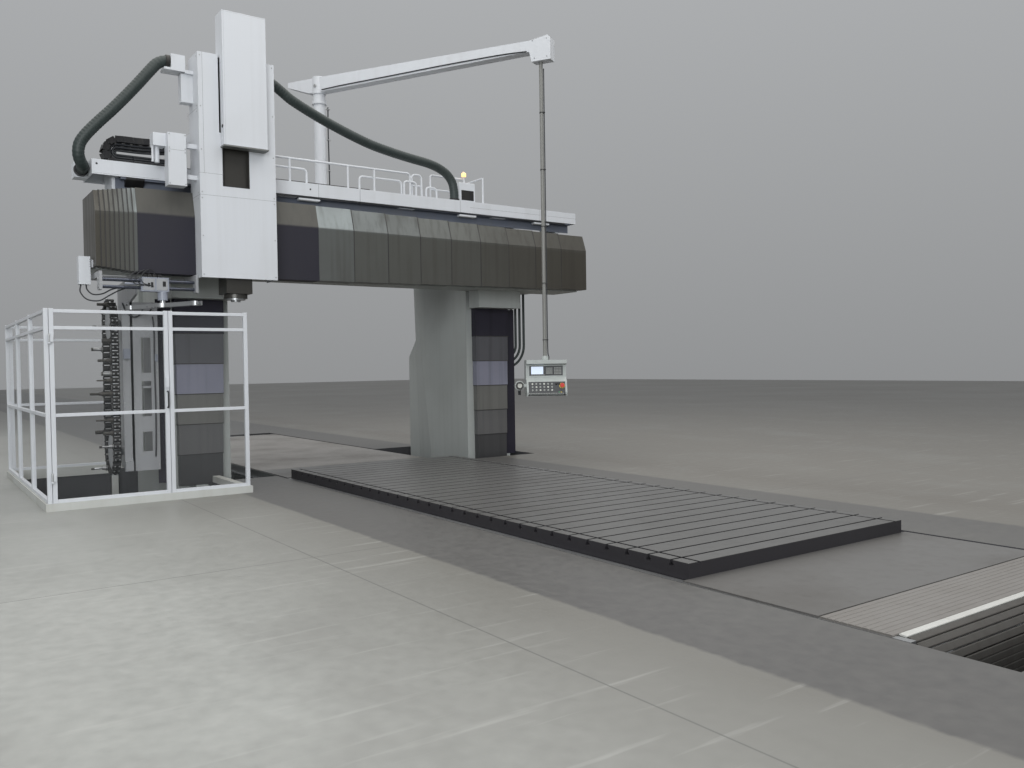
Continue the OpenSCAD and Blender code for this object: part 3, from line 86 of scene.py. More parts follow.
scene = bpy.context.scene
scene.view_settings.view_transform = "Standard"
camera_data = bpy.data.cameras.new("camera")
camera_data.sensor_width = 36
camera_data.lens = FOCAL_PX / PICTURE_WIDTH * camera_data.sensor_width
camera_data.clip_end = 200
camera = bpy.data.objects.new("camera", camera_data)
camera.matrix_world = Matrix.Translation(CAMERA_AT) @ camera_rotation(YAW, PITCH, ROLL).to_4x4()
scene.collection.objects.link(camera)
scene.camera = camera


# Floor
# Power-floated concrete, pale and scuffed, with the darker foundation of the machine cast into it.
# It has the openings of the table trench, the column pits and the tool magazine pit, with concrete
# pit walls painted near black as shade. Its finish, as every other one here, varies with noise on
# Object coordinates.
def node_group(name, inputs, outputs):
    """An empty shader node group with float or colour sockets, and its two end nodes."""
    group = bpy.data.node_groups.new(name, "ShaderNodeTree")
    kinds = {"f": "NodeSocketFloat", "c": "NodeSocketColor", "v": "NodeSocketVector"}
    for label, kind, default in inputs:
        socket = group.interface.new_socket(name=label, in_out="INPUT", socket_type=kinds[kind])
        if default is not None:
            socket.default_value = default
    for label, kind in outputs:
        group.interface.new_socket(name=label, in_out="OUTPUT", socket_type=kinds[kind])
    return group, group.nodes.new("NodeGroupInput"), group.nodes.new("NodeGroupOutput")


def add(tree, kind, links=None, **settings):
    """A node with its properties set and its inputs linked or given a value."""
    node = tree.nodes.new("ShaderNode" + kind)
    for key, value in settings.items():
        setattr(node, key, value)
    for key, value in (links or {}).items():
        if isinstance(value, bpy.types.NodeSocket):
            tree.links.new(value, node.inputs[key])
        else:
            node.inputs[key].default_value = value
    return node


def math_node(tree, operation, a, b=0.0):
    """Output of a Math node on two numbers or sockets."""
    return add(tree, "Math", {0: a, 1: b}, operation=operation).outputs[0]


def blend_colour(tree, factor, a, b):
    """Colour a where factor is 0 and b where it is 1."""
    return add(tree, "Mix", {0: factor, 6: a, 7: b}, data_type="RGBA").outputs[2]


def noise(tree, coordinates, stretch, scale, detail=3.0):
    """Noise from 0 to 1 over coordinates stretched by a factor along each axis."""
    mapping = add(tree, "Mapping", {"Vector": coordinates, "Scale": stretch})
    texture = add(tree, "TexNoise", {"Vector": mapping.outputs[0], "Scale": scale, "Detail": detail})
    return texture.outputs["Fac"]


def sharpen(tree, value, low, high):
    """value moved so that low becomes 0 and high becomes 1."""
    return add(tree, "MapRange", {0: value, 1: low, 2: high}).outputs[0]


def worn_group():
    """Patches, vertical streaks and speckle: colour, roughness change and height for any coating."""
    group, start, end = node_group(
        "worn_coating",
        [("Position", "v", None), ("Colour", "c", (0.5, 0.5, 0.5, 1)), ("Dirt", "c", (0.2, 0.18, 0.15, 1)),
         ("Patches", "f", 0.2), ("Streaks", "f", 0.2), ("Roughness", "f", 0.5)],
        [("Colour", "c"), ("Roughness", "f"), ("Height", "f")])
    place = start.outputs["Position"]
    patches = sharpen(group, noise(group, place, (1, 1, 1), 0.9, 5), 0.42, 0.72)
    streaks = sharpen(group, noise(group, place, (6, 6, 0.25), 1.6, 4), 0.48, 0.78)
    speckle = noise(group, place, (1, 1, 1), 38, 2)
    soil = math_node(group, "ADD", math_node(group, "MULTIPLY", patches, start.outputs["Patches"]),
                     math_node(group, "MULTIPLY", streaks, start.outputs["Streaks"]))
    colour = blend_colour(group, soil, start.outputs["Colour"], start.outputs["Dirt"])
    rough = math_node(group, "ADD", start.outputs["Roughness"], math_node(group, "MULTIPLY", soil, 0.35))
    group.links.new(colour, end.inputs["Colour"])
    group.links.new(rough, end.inputs["Roughness"])
    height = math_node(group, "ADD", speckle, math_node(group, "MULTIPLY", patches, 0.4))
    group.links.new(height, end.inputs["Height"])
    return group


WORN = worn_group()


def finish(name, colour, rough=0.5, metal=0.0, dirt=(0.16, 0.15, 0.13), patches=0.18, streaks=0.15,
           bump=0.0004):
    """A coated or bare surface whose wear comes from the shared group."""
    material = bpy.data.materials.new(name)
    material.use_nodes = True
    tree = material.node_tree
    shader = tree.nodes["Principled BSDF"]
    place = add(tree, "TexCoord").outputs["Object"]
    worn = tree.nodes.new("ShaderNodeGroup")
    worn.node_tree = WORN
    tree.links.new(place, worn.inputs["Position"])
    worn.inputs["Colour"].default_value = (*colour, 1)
    worn.inputs["Dirt"].default_value = (*dirt, 1)
    worn.inputs["Patches"].default_value = patches
    worn.inputs["Streaks"].default_value = streaks
    worn.inputs["Roughness"].default_value = rough
    tree.links.new(worn.outputs["Colour"], shader.inputs["Base Color"])
    tree.links.new(worn.outputs["Roughness"], shader.inputs["Roughness"])
    shader.inputs["Metallic"].default_value = metal
    relief = add(tree, "Bump", {"Height": worn.outputs["Height"], "Distance": bump, "Strength": 0.6})
    tree.links.new(relief.outputs[0], shader.inputs["Normal"])
    return material


def concrete():
    """Pale slabs with stains and joints, darker to the right and on the foundation between the columns."""
    material = bpy.data.materials.new("concrete_floor")
    material.use_nodes = True
    tree = material.node_tree
    shader = tree.nodes["Principled BSDF"]
    place = add(tree, "TexCoord").outputs["Object"]
    broad = noise(tree, place, (1, 1, 1), 0.22, 5)
    fine = noise(tree, place, (1, 1, 1), 11, 8)
    stains = sharpen(tree, noise(tree, place, (1, 0.55, 1), 0.8, 9), 0.52, 0.68)
    scratches = sharpen(tree, noise(tree, place, (0.35, 5, 1), 2.4, 8), 0.60, 0.72)
    axes = add(tree, "SeparateXYZ", {"Vector": place})
    across = math_node(tree, "ABSOLUTE", axes.outputs[0])
    block = sharpen(tree, math_node(tree, "ADD", across, math_node(tree, "MULTIPLY", fine, 0.05)), 2.64, 2.60)
    joints = 0.0
    for axis, pitch, start in ((0, 6.0, 2.62), (1, 7.5, 1.3)):
        run = math_node(tree, "DIVIDE", math_node(tree, "SUBTRACT", axes.outputs[axis], start), pitch)
        near = math_node(tree, "ABSOLUTE", math_node(tree, "SUBTRACT", math_node(tree, "FRACT", run), 0.5))
        line = sharpen(tree, near, 0.5 - 0.008 / pitch, 0.5 - 0.004 / pitch)
        joints = math_node(tree, "MAXIMUM", joints, line)
    fine_part = math_node(tree, "MULTIPLY", fine, 0.45)
    tone = math_node(tree, "ADD", math_node(tree, "MULTIPLY", broad, 0.55), fine_part)
    mottled = sharpen(tree, tone, 0.34, 0.66)
    pale = blend_colour(tree, mottled, (0.285, 0.29, 0.275, 1), (0.375, 0.38, 0.362, 1))
    edge = math_node(tree, "ADD", across, math_node(tree, "MULTIPLY", broad, 1.6))
    pale = blend_colour(tree, sharpen(tree, edge, 3.2, 5.6), (0.165, 0.160, 0.145, 1), pale)
    beyond_table = math_node(tree, "MULTIPLY", sharpen(tree, axes.outputs[0], 1.5, 3.5), 0.8)
    pale = blend_colour(tree, beyond_table, pale, (0.125, 0.113, 0.098, 1))
    stained = blend_colour(tree, math_node(tree, "MULTIPLY", stains, 0.45), pale, (0.20, 0.198, 0.185, 1))
    marked = blend_colour(tree, math_node(tree, "MULTIPLY", scratches, 0.25), stained, (0.46, 0.46, 0.44, 1))
    oiled = sharpen(tree, tone, 0.3, 0.7)
    foundation = blend_colour(tree, oiled, (0.075, 0.073, 0.072, 1), (0.120, 0.117, 0.112, 1))
    laid = blend_colour(tree, math_node(tree, "MULTIPLY", block, 0.93), marked, foundation)
    colour = blend_colour(tree, math_node(tree, "MULTIPLY", joints, 0.7), laid, (0.10, 0.10, 0.095, 1))
    tree.links.new(colour, shader.inputs["Base Color"])
    rough = math_node(tree, "ADD", math_node(tree, "MULTIPLY", tone, 0.35), 0.28)
    tree.links.new(rough, shader.inputs["Roughness"])
    relief = add(tree, "Bump", {"Height": fine, "Distance": 0.002, "Strength": 0.3})
    tree.links.new(relief.outputs[0], shader.inputs["Normal"])
    return material


def mesh_object(name, vertices, faces, material, smooth=False):
    """Object at the origin whose mesh has its place in it."""
    mesh = bpy.data.meshes.new(name)
    mesh.from_pydata([tuple(v) for v in vertices], [], [tuple(f) for f in faces])
    mesh.update()
    if smooth:
        mesh.polygons.foreach_set("use_smooth", [True] * len(mesh.polygons))
    piece = bpy.data.objects.new(name, mesh)
    scene.collection.objects.link(piece)
    mesh.materials.append(material)
    return piece


def grid_with_holes(xs, ys, holes, z):
    """Floor cells between sorted cut lines, leaving out those whose centre lies in a hole."""
    vertices = [(x, y, z) for y in ys for x in xs]
    faces = []
    for j in range(len(ys) - 1):
        for i in range(len(xs) - 1):
            cx, cy = (xs[i] + xs[i + 1]) / 2, (ys[j] + ys[j + 1]) / 2
            if not any(x0 < cx < x1 and y0 < cy < y1 for x0, x1, y0, y1 in holes):
                k = j * len(xs) + i
                faces.append((k, k + 1, k + len(xs) + 1, k + len(xs)))
    return vertices, faces


def pit_walls(holes, low):
    """Floors of the pits, and upright walls on every cell side that parts a hole from the floor."""
    xs = sorted({v for h in holes for v in h[:2]})
    ys = sorted({v for h in holes for v in h[2:]})
    inside = lambda x, y: any(x0 < x < x1 and y0 < y < y1 for x0, x1, y0, y1 in holes)
    beyond = 1e-4
    quads = []
    for y0, y1 in zip(ys, ys[1:]):
        for x0, x1 in zip(xs, xs[1:]):
            cx, cy = (x0 + x1) / 2, (y0 + y1) / 2
            if not inside(cx, cy):
                continue
            quads.append([(x0, y0, low), (x1, y0, low), (x1, y1, low), (x0, y1, low)])
            corners = ((x0, y0), (x1, y0), (x1, y1), (x0, y1))
            outsides = ((cx, y0 - beyond), (x1 + beyond, cy), (cx, y1 + beyond), (x0 - beyond, cy))
            for a, b, outside in zip(corners, corners[1:] + corners[:1], outsides):
                if not inside(*outside):
                    quads.append([(*b, low), (*a, low), (*a, FLOOR), (*b, FLOOR)])
    return [v for quad in quads for v in quad], np.arange(4 * len(quads)).reshape(-1, 4).tolist()


HOLES = [(-1.56, 1.56, -11.2, 8.7), (-3.4, 3.4, -0.35, 2.6), (-4.8, -2.55, -1.75, 2.5)]
cuts_x = sorted({-60.0, 60.0, *[v for h in HOLES for v in h[:2]]})
cuts_y = sorted({-30.0, 90.0, *[v for h in HOLES for v in h[2:]]})
# The pit walls are painted near black as the shade down in the pits
pit_concrete_painted_shade = finish("pit_concrete_painted_shade", (0.055, 0.055, 0.060), rough=0.8, streaks=0.4, dirt=(0.03, 0.03, 0.03))
mesh_object("floor", *grid_with_holes(cuts_x, cuts_y, HOLES, FLOOR), concrete())
mesh_object("pit_walls", *pit_walls(HOLES, 0.0), pit_concrete_painted_shade)


# Bed, table and table drive
# Three castings bolted in line stand on levelling pads in the trench and carry ground rails. The
# table is one oiled casting, its sides painted near black as shade below a lighter top.
def two_tone(material, height, upper, width=0.02):
    """Changes the coating's colour to upper above a height, as light from above makes it look."""
    tree = material.node_tree
    worn = next(n for n in tree.nodes if n.type == "GROUP")
    axes = add(tree, "SeparateXYZ", {"Vector": add(tree, "TexCoord").outputs["Object"]})
    above = sharpen(tree, axes.outputs[2], height - width, height + width)
    lower = tuple(worn.inputs["Colour"].default_value)
    tree.links.new(blend_colour(tree, above, lower, (*upper, 1)), worn.inputs["Colour"])
    return material


def dress(material, *names):
    """Gives CAD nodes their finish."""
    for name in names:
        for slot in nodes[name].material_slots:
            slot.material = material


grey_green = finish("grey_green_enamel", (0.27, 0.29, 0.28), rough=0.5, dirt=(0.12, 0.11, 0.09), streaks=0.2)
steel = finish("ground_steel", (0.45, 0.46, 0.47), rough=0.35, metal=0.9, dirt=(0.15, 0.13, 0.10))
iron = finish("oiled_iron", (0.17, 0.165, 0.16), rough=0.36, metal=0.35, dirt=(0.06, 0.055, 0.048),
              patches=0.45)
# The table's sides are painted near black as the shade they lie in; only its top has the lighter iron colour
table_shaded_side = finish("table_iron", (0.038, 0.036, 0.041), rough=0.36, metal=0.35, dirt=(0.03, 0.028, 0.026))
table_iron = two_tone(table_shaded_side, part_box("table")[1].z - 0.003, (0.135, 0.133, 0.13), 0.0015)
dress(grey_green, "bed_front", "bed_middle", "bed_rear", "table_drive")
dress(steel, "levelling_pads", "trench_rails", "roller_front", "roller_rear", "table_pinion")
dress(iron, "end_plates")
dress(table_iron, "table")


# Portal
# Two hollow castings on the foundation carry the top beam and, on two screws, the crossrail. They
# are sprayed in machine enamel, the beam in white.
white = finish("white_enamel", (0.60, 0.62, 0.655), rough=0.42, dirt=(0.30, 0.29, 0.27), patches=0.10,
               streaks=0.10)
light_grey = finish("grey_enamel", (0.29, 0.31, 0.305), rough=0.42, dirt=(0.16, 0.155, 0.14), patches=0.2,
                    streaks=0.15)
# The columns and crossrail take a lighter copy of the grey enamel: painted light on faces the lamps here
# leave dark
column_grey_painted_light = finish("column_enamel_painted_light", (0.37, 0.39, 0.38), rough=0.42, dirt=(0.20, 0.195, 0.18), patches=0.2,
                     streaks=0.15)
dress(white, "top_beam")
dress(light_grey, "lift_drives")
dress(column_grey_painted_light, "column_left", "column_right", "crossrail")
dress(steel, "lift_screw_left", "lift_screw_right", "traverse_screw")


# Guard fence
# Square steel tube frames in white enamel with clear plastic panes stand on a low kerb. The left
# front frame is a door on two pin hinges, with a pull handle and a lock case at its free edge.
def rounded(piece, bevel):
    """Rounds the piece's edges by a small radius."""
    edge = piece.modifiers.new("rounded", "BEVEL")
    edge.width, edge.segments, edge.limit_method = bevel, 2, "ANGLE"
    return piece


BOX_FACES = ((0, 2, 3, 1), (4, 5, 7, 6), (0, 1, 5, 4), (2, 6, 7, 3), (0, 4, 6, 2), (1, 3, 7, 5))


def boxes(name, spans, material, bevel=0.003):
    """One mesh of boxes, each given as ((x0, x1), (y0, y1), (z0, z1)), with rounded edges."""
    vertices = [(a, b, c) for x, y, z in spans for c in z for b in y for a in x]
    faces = [tuple(8 * n + i for i in face) for n in range(len(spans)) for face in BOX_FACES]
    piece = mesh_object(name, vertices, faces, material)
    return rounded(piece, bevel) if bevel else piece


def ring_points(centres, radii, across, up, sides):
    """Points centre + r (cos a across + sin a up), ring after ring, in one array."""
    a = np.linspace(0, 2 * np.pi, sides, endpoint=False)[None, :, None]
    circle = np.cos(a) * across[:, None] + np.sin(a) * up[:, None]
    return (centres[:, None] + np.reshape(radii, (-1, 1, 1)) * circle).reshape(-1, 3)


def ring_faces(rings, sides, first=0):
    """Faces between neighbouring rings and a cap at each end, facing out where across x up = along."""
    i, j = np.divmod(np.arange((rings - 1) * sides), sides)
    corner, beside = first + i * sides + j, first + i * sides + (j + 1) % sides
    last = first + (rings - 1) * sides
    caps = [range(first + sides - 1, first - 1, -1), range(last, last + sides)]
    return np.stack([corner, beside, beside + sides, corner + sides], 1).tolist() + caps


def sweep(name, path, radius, material, sides=14):
    """Tube along a list of points; radius is one number or one per point. Rings turn with the path."""
    path = np.array(path, float)
    radius = np.broadcast_to(np.array(radius, float), len(path))
    along = np.gradient(path, axis=0)
    along /= np.linalg.norm(along, axis=1, keepdims=True)
    back = np.array([-0.13, -0.99, -0.05])
    across, up = np.empty_like(along), np.empty_like(along)
    for i, direction in enumerate(along):
        side = np.cross(back, direction)
        across[i] = side / np.linalg.norm(side)
        back = up[i] = np.cross(direction, across[i])
    vertices = ring_points(path, radius, across, up, sides)
    return mesh_object(name, vertices, ring_faces(len(path), sides), material, smooth=True)


def smooth_path(points, step):
    """Catmull-Rom curve through points, resampled at even steps of its length."""
    points = np.array(points, float)
    padded = np.vstack([2 * points[0] - points[1], points, 2 * points[-1] - points[-2]])
    t = np.linspace(0, 1, 24, endpoint=False)[:, None]
    dense = np.vstack([
        0.5 * (2 * b + (c - a) * t + (2 * a - 5 * b + 4 * c - d) * t**2 + (3 * b - a - 3 * c + d) * t**3)
        for a, b, c, d in zip(padded, padded[1:], padded[2:], padded[3:])] + [points[-1:]])
    run = np.concatenate([[0], np.cumsum(np.linalg.norm(np.diff(dense, axis=0), axis=1))])
    even = np.linspace(0, run[-1], max(2, int(run[-1] / step) + 1))
    return np.stack([np.interp(even, run, dense[:, i]) for i in range(3)], 1), even


def level(*heights):
    """Heights above the shop floor, in the CAD's frame."""
    return tuple(FLOOR + h for h in heights)


def raised(points):
    """Points whose heights are given above the shop floor."""
    return [(x, y, z + FLOOR) for x, y, z in points]


TUBE = 0.050
RAIL_HEIGHTS = (0.090, 1.113, 2.150, 2.350)
DOOR_X = (-4.824, -3.481)
FIXED_BAY_X = -3.475
REAR_BAY_X = -3.290
GRIP_X = -3.506
fence_low, fence_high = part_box("fence")
front = (-1.850, -1.850 + TUBE)
left = (fence_low.x, fence_low.x + TUBE)

kerb_white = finish("kerb_enamel", (0.50, 0.51, 0.49), rough=0.6, dirt=(0.25, 0.22, 0.17), patches=0.4)
black = finish("black_oxide", (0.025, 0.025, 0.027), rough=0.45, metal=0.6)
pane_plastic = finish("clear_pane", (0.30, 0.32, 0.33), rough=0.12, dirt=(0.5, 0.5, 0.48), bump=0.0)
pane_plastic.node_tree.nodes["Principled BSDF"].inputs["Alpha"].default_value = 0.035
dress(kerb_white, "kerb_frame")
dress(white, "fence", "fence_door")


def bay(x, y, along_y=False):
    """Posts and rails of one bay from its lower left corner; returns the frame and the pane spans."""
    post_z = level(RAIL_HEIGHTS[0], RAIL_HEIGHTS[-1] + TUBE)
    pane_z = (post_z[0] + 0.02, post_z[1] - 0.02)
    if along_y:
        posts = [(x, (a, a + TUBE), post_z) for a in (y[0], y[1] - TUBE)]
        pane = ((sum(x) / 2 - 0.002, sum(x) / 2 + 0.002), (y[0] + TUBE, y[1] - TUBE), pane_z)
    else:
        posts = [((a, a + TUBE), y, post_z) for a in (x[0], x[1] - TUBE)]
        pane = ((x[0] + TUBE, x[1] - TUBE), (sum(y) / 2 - 0.002, sum(y) / 2 + 0.002), pane_z)
    # Rails end at the posts and lie a millimetre behind their faces, as the welded tubes do
    inset = lambda s: (s[0] + 0.001, s[1] - 0.001)
    between = (pane[0] if not along_y else inset(x), pane[1] if along_y else inset(y))
    rails = [(*between, level(h, h + 0.8 * TUBE)) for h in RAIL_HEIGHTS]
    return posts + rails, [pane]


step = (fence_high.y - front[0]) / 3
bays = [bay((FIXED_BAY_X, fence_high.x), front)]
bays += [bay(left, (front[0] + i * step, front[0] + (i + 1) * step), along_y=True) for i in range(3)]
bays += [bay((left[1] + 0.001, REAR_BAY_X), (fence_high.y - TUBE, fence_high.y))]
frames = [span for spans, _ in bays for span in spans]
panes = [span for _, spans in bays for span in spans]
pins = [(-4.827, -1.872, z) for z in level(0.350, 2.000)]
frames += [((x - 0.014, x + 0.014), (y - 0.014, front[0] + 0.002), (z - 0.020, z)) for x, y, z in pins]
door_frames, door_panes = bay(DOOR_X, front)
door_frames += [((x, x + 0.045), (y - 0.005, front[0] + 0.002), (z, z + 0.080)) for x, y, z in pins]
door_frames += [((GRIP_X - 0.020, GRIP_X + 0.020), (front[0] - 0.030, front[0] + 0.001), level(1.430, 1.560))]
grip = [(GRIP_X, front[0] + out, z) for out, z in zip((0.002, -0.045, -0.050, -0.045, 0.002),
                                                      level(1.180, 1.185, 1.280, 1.375, 1.380))]
fixed_fence = [boxes("fence_frame", frames, white), boxes("fence_panes", panes, pane_plastic, bevel=0)]
for i, (x, y, z) in enumerate(pins):
    pin_path = [(x, y, z + h) for h in np.linspace(-0.020, 0.100, 6)]
    fixed_fence.append(sweep(f"hinge_pin_{i}", pin_path, 0.012, steel, 16))
door = [boxes("door_frame", door_frames, white), boxes("door_pane", door_panes, pane_plastic, bevel=0),
        sweep("door_grip", smooth_path(grip, 0.01)[0], 0.009, black, 12)]
for pieces, body, node in ((fixed_fence, "base", "fence"), (door, "door_body", "fence_door")):
    for piece in pieces:
        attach(piece, body)
        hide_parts(node)


# Hoses and energy chain of the saddle
# Two ribbed hoses hang in arcs from the saddle to the walkway, and a chain of plastic links folds
# over on the deck behind the guard rail.
LEFT_HOSE = raised([
    (-3.1893, -1.05, 5.815), (-3.26, -1.05, 5.812), (-3.355, -1.05, 5.755), (-3.455, -1.05, 5.635),
    (-3.578, -1.04, 5.475), (-3.752, -1.03, 5.260), (-3.923, -1.02, 5.060), (-4.091, -1.01, 4.876),
    (-4.233, -1.00, 4.705), (-4.304, -0.99, 4.584), (-4.322, -0.98, 4.470), (-4.300, -0.94, 4.385),
    (-4.256, -0.86, 4.338), (-4.234, -0.74, 4.333), (-4.234, -0.5603, 4.333)])
RIGHT_HOSE = raised([
    (-1.8547, -1.04, 5.780), (-1.76, -1.04, 5.770), (-1.60, -1.02, 5.680), (-1.441, -1.00, 5.590),
    (-1.073, -0.92, 5.462), (-0.744, -0.88, 5.352), (-0.403, -0.84, 5.251), (-0.05, -0.80, 5.165),
    (0.354, -0.76, 5.102), (0.688, -0.73, 5.062), (0.978, -0.72, 5.027), (1.197, -0.70, 4.980),
    (1.365, -0.70, 4.892), (1.470, -0.70, 4.765), (1.505, -0.70, 4.615), (1.510, -0.70, 4.4393)])
HOSE_R = 0.075
HOSE_RIB = 0.045
COLLAR_R = 0.088
rubber = finish("hose_rubber", (0.020, 0.030, 0.029), rough=0.5, dirt=(0.06, 0.07, 0.068))
cable = finish("cable_sheath", (0.022, 0.024, 0.028), rough=0.4, dirt=(0.06, 0.06, 0.06))
dress(rubber, "saddle_cables")


def ribbed_hose(name, points, radius, rib, step, depth, sides):
    """Tube whose radius is r (1 - depth (1 - cos 2 pi s / rib)) over its length s."""
    path, run = smooth_path(points, step)
    return sweep(name, path, radius * (1 - depth * (1 - np.cos(2 * np.pi * run / rib))), rubber, sides)


def chain_links(name, path, width, height, pitch):
    """Link plates with two cross bars, one set of four boxes per pitch along a path in an XZ plane."""
    points, _ = smooth_path(path, pitch)
    # Each box: its span across the chain, its span through it and half its length
    parts = ((-0.5, -0.42, -0.5, 0.5, 0.52), (0.42, 0.5, -0.5, 0.5, 0.52), (-0.42, 0.42, 0.38, 0.5, 0.3),
             (-0.42, 0.42, -0.5, -0.38, 0.3))
    corners = np.array([(s, y, h) for y0, y1, h0, h1, reach in parts
                        for h in (h0, h1) for y in (y0, y1) for s in (-reach, reach)])
    along = np.diff(points, axis=0)
    along /= np.linalg.norm(along, axis=1, keepdims=True)
    normal = np.stack([-along[:, 2], 0 * along[:, 0], along[:, 0]], 1)
    middle = (points[:-1] + points[1:]) / 2
    s, y, h = (corners.T * [[pitch], [width], [height]])[:, None, :, None]
    vertices = (middle[:, None] + s * along[:, None] + h * normal[:, None] + y * [0, 1, 0]).reshape(-1, 3)
    faces = [tuple(8 * n + i for i in face) for n in range(len(vertices) // 8) for face in BOX_FACES]
    return rounded(mesh_object(name, vertices, faces, black), 0.006)


def rods(name, ends, radius, material, sides=16, cap_bevel=0.0):
    """Round pieces between pairs of points, all of one radius or one each, the far rim bevelled."""
    vertices, faces = [], []
    radii = radius if isinstance(radius, (list, tuple)) else [radius] * len(ends)
    for (a, b), r in zip(ends, radii):
        a, b = Vector(a), Vector(b)
        along = (b - a).normalized()
        side = along.orthogonal().normalized()
        rings = [(a, r), (b - along * cap_bevel, r), (b, r - cap_bevel)] if cap_bevel else [(a, r), (b, r)]
        centres = np.array([centre for centre, _ in rings])
        turned_to = (np.tile(axis, (len(rings), 1)) for axis in (side, along.cross(side)))
        faces += ring_faces(len(rings), sides, first=sum(len(v) for v in vertices))
        vertices.append(ring_points(centres, [r_here for _, r_here in rings], *turned_to, sides))
    return mesh_object(name, np.concatenate(vertices), faces, material)


left_hose = ribbed_hose("left_hose", LEFT_HOSE, HOSE_R, HOSE_RIB, HOSE_RIB / 4, 0.025, 18)
right_hose = ribbed_hose("right_hose", RIGHT_HOSE, HOSE_R, HOSE_RIB, HOSE_RIB / 4, 0.025, 18)
DECK = FLOOR + 4.431
deck_collars = [((1.510, -0.70, DECK + 0.0085), (1.510, -0.70, DECK + 0.060)),
                tuple(raised([(-4.234, -0.650, 4.333), (-4.234, -0.5605, 4.333)]))]
saddle_collars = [tuple(raised([(-3.1885, -1.05, 5.815), (-3.245, -1.05, 5.815)])),
                  tuple(raised([(-1.8545, -1.04, 5.780), (-1.790, -1.04, 5.780)]))]
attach(rods("deck_collars", deck_collars, COLLAR_R, black, 28, 0.006), "crossrail_body")
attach(rods("saddle_collars", saddle_collars, COLLAR_R, black, 28, 0.006), "saddle_body")

BEND = (-3.750, DECK + 0.215)
BEND_R = 0.170
HALF_TURN = np.radians(np.linspace(270, 90, 13))
CLIMB = 0.070
LAID = 10  # points of the lower run, which stays on the deck
CHAIN_SIZE = (0.230, 0.088, 0.11)


def chain_route(r, y=-0.445, left=0.0, right=-2.8805):
    """Lower run, half turn of radius r about the bend and upper run that climbs to the saddle's arm."""
    turn_x = BEND[0] + 0.2
    route = [(x, y, BEND[1] - r) for x in np.linspace(left, turn_x, LAID)]
    route += [(BEND[0] + r * math.cos(a), y, BEND[1] + r * math.sin(a)) for a in HALF_TURN]
    upper = np.linspace(0, 1, 6)
    return route + [(turn_x + s * (right - turn_x), y, BEND[1] + r + CLIMB * s * s) for s in upper]


route = chain_route(BEND_R)
laid = [chain_links("chain_lower_run", route[:LAID], *CHAIN_SIZE)]
folding = [chain_links("chain_upper_run", route[LAID - 1:], *CHAIN_SIZE)]
for i, (r, y) in enumerate(((0.108, -0.50), (0.112, -0.40), (0.070, -0.48), (0.066, -0.41), (0.032, -0.45))):
    route = chain_route(r, y, left=-2.9)
    laid.append(sweep(f"inner_cable_low_{i}", smooth_path(route[:LAID], 0.02)[0], 0.017, cable, 10))
    folding.append(sweep(f"inner_cable_{i}", smooth_path(route[LAID - 1:], 0.02)[0], 0.017, cable, 10))
chain_ends = raised([(-3.9, -0.445, 4.6), (-2.88, -0.445, 4.6)])
bending = [(left_hose, LEFT_HOSE[-1], LEFT_HOSE[0]), (right_hose, RIGHT_HOSE[-1], RIGHT_HOSE[0])]
bending += [(piece, *chain_ends) for piece in folding]
for piece in laid:
    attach(piece, "crossrail_body")
    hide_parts("saddle_cables")
for piece, rail_end, saddle_end in bending:
    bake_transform(piece)
    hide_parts("saddle_cables")


# Way covers and column covers
# Telescopic covers folded from steel sheet, nine nested plates a side on the crossrail and six a
# column. Each ends in a black wiper lip that drags over the next one.
CREASE = FLOOR + 3.745
SHEET_PROUD = 0.0012
WIPER = 0.014
# Way covers, from the plate beside the saddle outwards: colour of the front and of the slope above.
# The pale silver of the plates beside the saddle is a painted reflection that fades outwards, and
# each slope's lighter tone is painted light from above.
WAY_TONES = [
    ((0.115, 0.122, 0.118), (0.235, 0.262, 0.266)), ((0.098, 0.101, 0.094), (0.148, 0.162, 0.162)),
    ((0.092, 0.094, 0.086), (0.124, 0.134, 0.132)), ((0.088, 0.089, 0.081), (0.110, 0.116, 0.111)),
    ((0.083, 0.083, 0.075), (0.102, 0.106, 0.099)), ((0.078, 0.077, 0.068), (0.094, 0.096, 0.088)),
    ((0.074, 0.071, 0.061), (0.087, 0.086, 0.077)), ((0.069, 0.065, 0.054), (0.080, 0.077, 0.067)),
    ((0.064, 0.059, 0.048), (0.074, 0.070, 0.060))]
# Column covers, from the top plate down
COLUMN_TONES = [(0.012, 0.010, 0.022), (0.125, 0.125, 0.138), (0.29, 0.295, 0.37), (0.19, 0.19, 0.18),
                (0.15, 0.15, 0.152), (0.075, 0.075, 0.078)]
COLUMN_BODIES = ("crossrail_body", *[f"column_stage_{k}" for k in range(2, 6)], "base")
COLUMN_MID = 2.615


def way_sheet(k, front_tone, slope_tone):
    """Worn steel sheet whose slope above the crease catches more light than its front."""
    sheet = finish(f"way_sheet_{k}", front_tone, rough=0.36, metal=0.35, dirt=(0.04, 0.036, 0.03),
                   patches=0.3, streaks=0.45)
    return two_tone(sheet, CREASE - 0.006 * (k - 1), slope_tone)


def column_sheet(k, tone):
    """Brushed sheet, except for the painted one at the top."""
    painted = k == 1
    return finish(f"column_sheet_{k}", tone, rough=0.55 if painted else 0.34, metal=0.0 if painted else 0.4,
                  dirt=tuple(0.45 * v for v in tone), patches=0.35, streaks=0.35)


def strip_mesh(name, bands, material):
    """Flat bands, each an array of (point, point) pairs across its width that follow each other."""
    vertices, faces = np.concatenate([np.reshape(band, (-1, 3)) for band in bands]), []
    first = 0
    for band in bands:
        k = first + 2 * np.arange(len(band) - 1)
        faces += np.stack([k, k + 2, k + 3, k + 1], 1).tolist()
        first += 2 * len(band)
    return mesh_object(name, vertices, faces, material)


def plates(name, spans, material, body, bevel=0.0):
    """Boxes that ride on a body."""
    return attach(boxes(name, spans, material, bevel=bevel), body)


